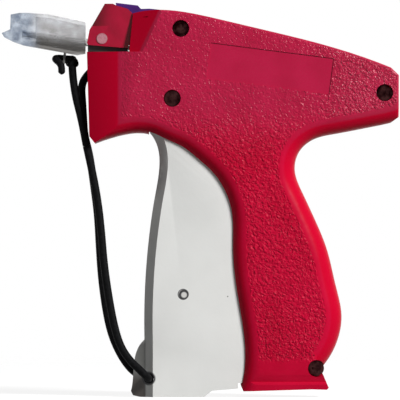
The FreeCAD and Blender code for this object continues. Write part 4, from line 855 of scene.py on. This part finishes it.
# %% [markdown]
# The loop goes through the lug under the cap and ends in a cut tail that hangs free. The knot where it
# meets the strand is an overhand knot pulled tight: its line is a trefoil, three lobes that pass over and
# under each other, squeezed along the strand.

# %% Loop and knot
LOOP = np.array([
    (-48.3, 0.4, 126.0), (-47.2, 0.6, 127.2), (-49.2, 0.0, 127.1), (-51.4, 0.0, 127.3), (-53.2, 0.0, 127.5),
    (-54.6, -0.9, 127.3), (-54.0, -2.9, 126.6), (-52.4, -4.0, 125.2), (-51.9, -4.4, 123.2),
    (-52.1, -4.7, 121.2)]) * MM
KNOT_CENTRE = np.array([-48.3, 0.1, 125.9]) * MM
KNOT_SIZE = 0.72 * MM


def knot_line(centre, size, samples=160):
    """Trefoil: x = sin t + 2 sin 2t, y = cos t - 2 cos 2t, z = -sin 3t, scaled and moved."""
    t = np.linspace(0, 2 * math.pi, samples)
    x = np.sin(t) + 2 * np.sin(2 * t)
    y = np.cos(t) - 2 * np.cos(2 * t)
    z = -np.sin(3 * t)
    return centre + size * np.column_stack([x * 0.9, y * 0.62, z * 1.5])


strap_loop, _ = braided("strap_loop", smooth_line(LOOP), 2.7 * MM, shrink_ends=True)
knot, _ = braided("knot", knot_line(KNOT_CENTRE, KNOT_SIZE), 1.7 * MM)
for piece in (strap_loop, knot):
    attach(piece, "needle_cap")
    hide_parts("strap_knot")

# %% [markdown]
# The far strand ends in an eye round the anchor's post, a ring of the same strap.

# %% Eye round the anchor


def ring_line(centre, out, radius, samples=72):
    """Circle round an axis: two directions square to the axis carry a cosine and a sine."""
    first = np.cross(out, [0.0, 0.0, 1.0])
    first /= np.linalg.norm(first)
    second = np.cross(out, first)
    t = np.linspace(0, 2 * math.pi, samples)[:, None]
    return centre + radius * (np.cos(t) * first + np.sin(t) * second)


eye_low, eye_high = (np.array(corner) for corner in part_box("strap_eye"))
ANCHOR_OUT = np.array([-0.408, 0.913, 0.0])
eye, _ = braided("strap_loop_eye", ring_line((eye_low + eye_high) / 2, ANCHOR_OUT, 3.05 * MM))
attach(eye, "housing")
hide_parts("strap_eye")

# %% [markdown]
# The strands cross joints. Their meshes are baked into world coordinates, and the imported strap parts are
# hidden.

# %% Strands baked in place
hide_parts("strap_upper")
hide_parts("strap_near")
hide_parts("strap_far")
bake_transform(upper_strand)
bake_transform(near_strand)
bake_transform(far_strand)

# %% [markdown]
# ## Return springs
# Two coil springs round the guide rods push the carriage back. Each is a helix of round wire along the
# barrel, attached to the housing.

# %% Coil springs
BARREL_TILT = math.radians(7.3)
FORWARD = np.array([-math.cos(BARREL_TILT), 0.0, math.sin(BARREL_TILT)])
UPWARD = np.array([math.sin(BARREL_TILT), 0.0, math.cos(BARREL_TILT)])
BARREL_START = np.array([-42.5, 0.0, 133.3]) * MM
SPRING_REAR = -89.4 * MM
SPRING_FRONT = -39.5 * MM
SPRING_DROP = -2.0 * MM
SPRING_SPREAD = 7.2 * MM
COIL_RADIUS = 1.85 * MM
COIL_WIRE = 0.6 * MM
COILS = 12


def coil_line(out):
    """Helix along the barrel: the angle grows evenly, and slower at the closed ends."""
    t = np.linspace(0, 1, COILS * 24 + 1)
    rise = t - 0.035 * np.sin(2 * math.pi * t)
    turn = 2 * math.pi * COILS * t
    first = SPRING_REAR + COIL_WIRE / 2
    along = first + (SPRING_FRONT - COIL_WIRE / 2 - first) * rise
    base = BARREL_START + UPWARD * SPRING_DROP + np.array([0.0, out, 0.0])
    return (base + FORWARD * along[:, None] + UPWARD * (COIL_RADIUS * np.cos(turn))[:, None]
            + np.array([0.0, 1.0, 0.0]) * (COIL_RADIUS * np.sin(turn))[:, None])


for side, out in (("near", -SPRING_SPREAD), ("far", SPRING_SPREAD)):
    spring = tube_mesh(f"return_spring_{side}", coil_line(out), COIL_WIRE / 2, 10)
    wear_finish(spring, spring_steel)
    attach(spring, "housing")
    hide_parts("return_springs")
    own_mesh(spring)

# %% [markdown]
# ## Floor and light
# The floor is a pale disc that fades out before its edge, so it shows the tool's shadow and no horizon.
# The light is a small studio: one lamp high on the right does nearly all of it, a weak one behind lifts the
# top edge, and the world adds a little. The camera, reflections and clear parts see the world as white.

# %% Floor
FLOOR_RADIUS = 0.9
FLOOR_GREY = (0.26, 0.26, 0.26, 1)
FLOOR_GLOW = 0.86


def make_floor():
    mesh = bpy.data.meshes.new("floor")
    turn = np.linspace(0, 2 * math.pi, 96, endpoint=False)
    rim = np.column_stack([np.cos(turn), np.sin(turn), np.zeros(96)]) * FLOOR_RADIUS
    mesh.from_pydata(rim.tolist(), [], [list(range(96))])
    disc = bpy.data.objects.new("floor", mesh)
    scene.collection.objects.link(disc)
    made = bpy.data.materials.new("floor")
    made.use_nodes = True
    tree = made.node_tree
    tree.nodes.clear()
    place = node(tree, "ShaderNodeTexCoord").outputs["Object"]
    distance = node(tree, "ShaderNodeVectorMath", operation="LENGTH")
    feed(tree, distance.inputs[0], place)
    fade = ramp(tree, distance.outputs["Value"], FLOOR_RADIUS * 0.35, FLOOR_RADIUS * 0.95)
    matt = node(tree, "ShaderNodeBsdfDiffuse")
    feed(tree, matt.inputs["Color"], FLOOR_GREY)
    glow = node(tree, "ShaderNodeEmission")
    feed(tree, glow.inputs["Strength"], calculate(tree, "MULTIPLY", shown_white(tree), FLOOR_GLOW))
    lit = node(tree, "ShaderNodeAddShader")
    feed(tree, lit.inputs[0], matt.outputs[0])
    feed(tree, lit.inputs[1], glow.outputs[0])
    clear = node(tree, "ShaderNodeBsdfTransparent")
    blend = node(tree, "ShaderNodeMixShader")
    feed(tree, blend.inputs[0], fade)
    feed(tree, blend.inputs[1], lit.outputs[0])
    feed(tree, blend.inputs[2], clear.outputs[0])
    out = node(tree, "ShaderNodeOutputMaterial")
    feed(tree, out.inputs["Surface"], blend.outputs[0])
    wear_finish(disc, made)


make_floor()
print("floor radius:", FLOOR_RADIUS)

# %% World and lamps
WORLD_LIGHT = 0.05


def make_world():
    world = bpy.data.worlds.new("studio")
    world.use_nodes = True
    tree = world.node_tree
    tree.nodes.clear()
    back = node(tree, "ShaderNodeBackground")
    feed(tree, back.inputs["Color"], (1, 1, 1, 1))
    strength = calculate(tree, "MULTIPLY_ADD", shown_white(tree), 1 - WORLD_LIGHT, WORLD_LIGHT)
    feed(tree, back.inputs["Strength"], strength)
    out = node(tree, "ShaderNodeOutputWorld")
    feed(tree, out.inputs["Surface"], back.outputs[0])
    scene.world = world


def add_lamp(name, place, size, power):
    """Square area lamp that faces the middle of the tool."""
    data = bpy.data.lights.new(name, "AREA")
    data.size = size
    data.energy = power
    lamp = bpy.data.objects.new(name, data)
    lamp.location = place
    target = (cad_box[0] + cad_box[1]) / 2
    lamp.rotation_euler = (target - lamp.location).to_track_quat("-Z", "Y").to_euler()
    scene.collection.objects.link(lamp)


make_world()
add_lamp("key", (1.05, -1.05, 0.92), 0.35, 40.5)
add_lamp("back", (0.55, 0.7, 0.8), 0.5, 2.0)
scene.view_settings.view_transform = "Standard"
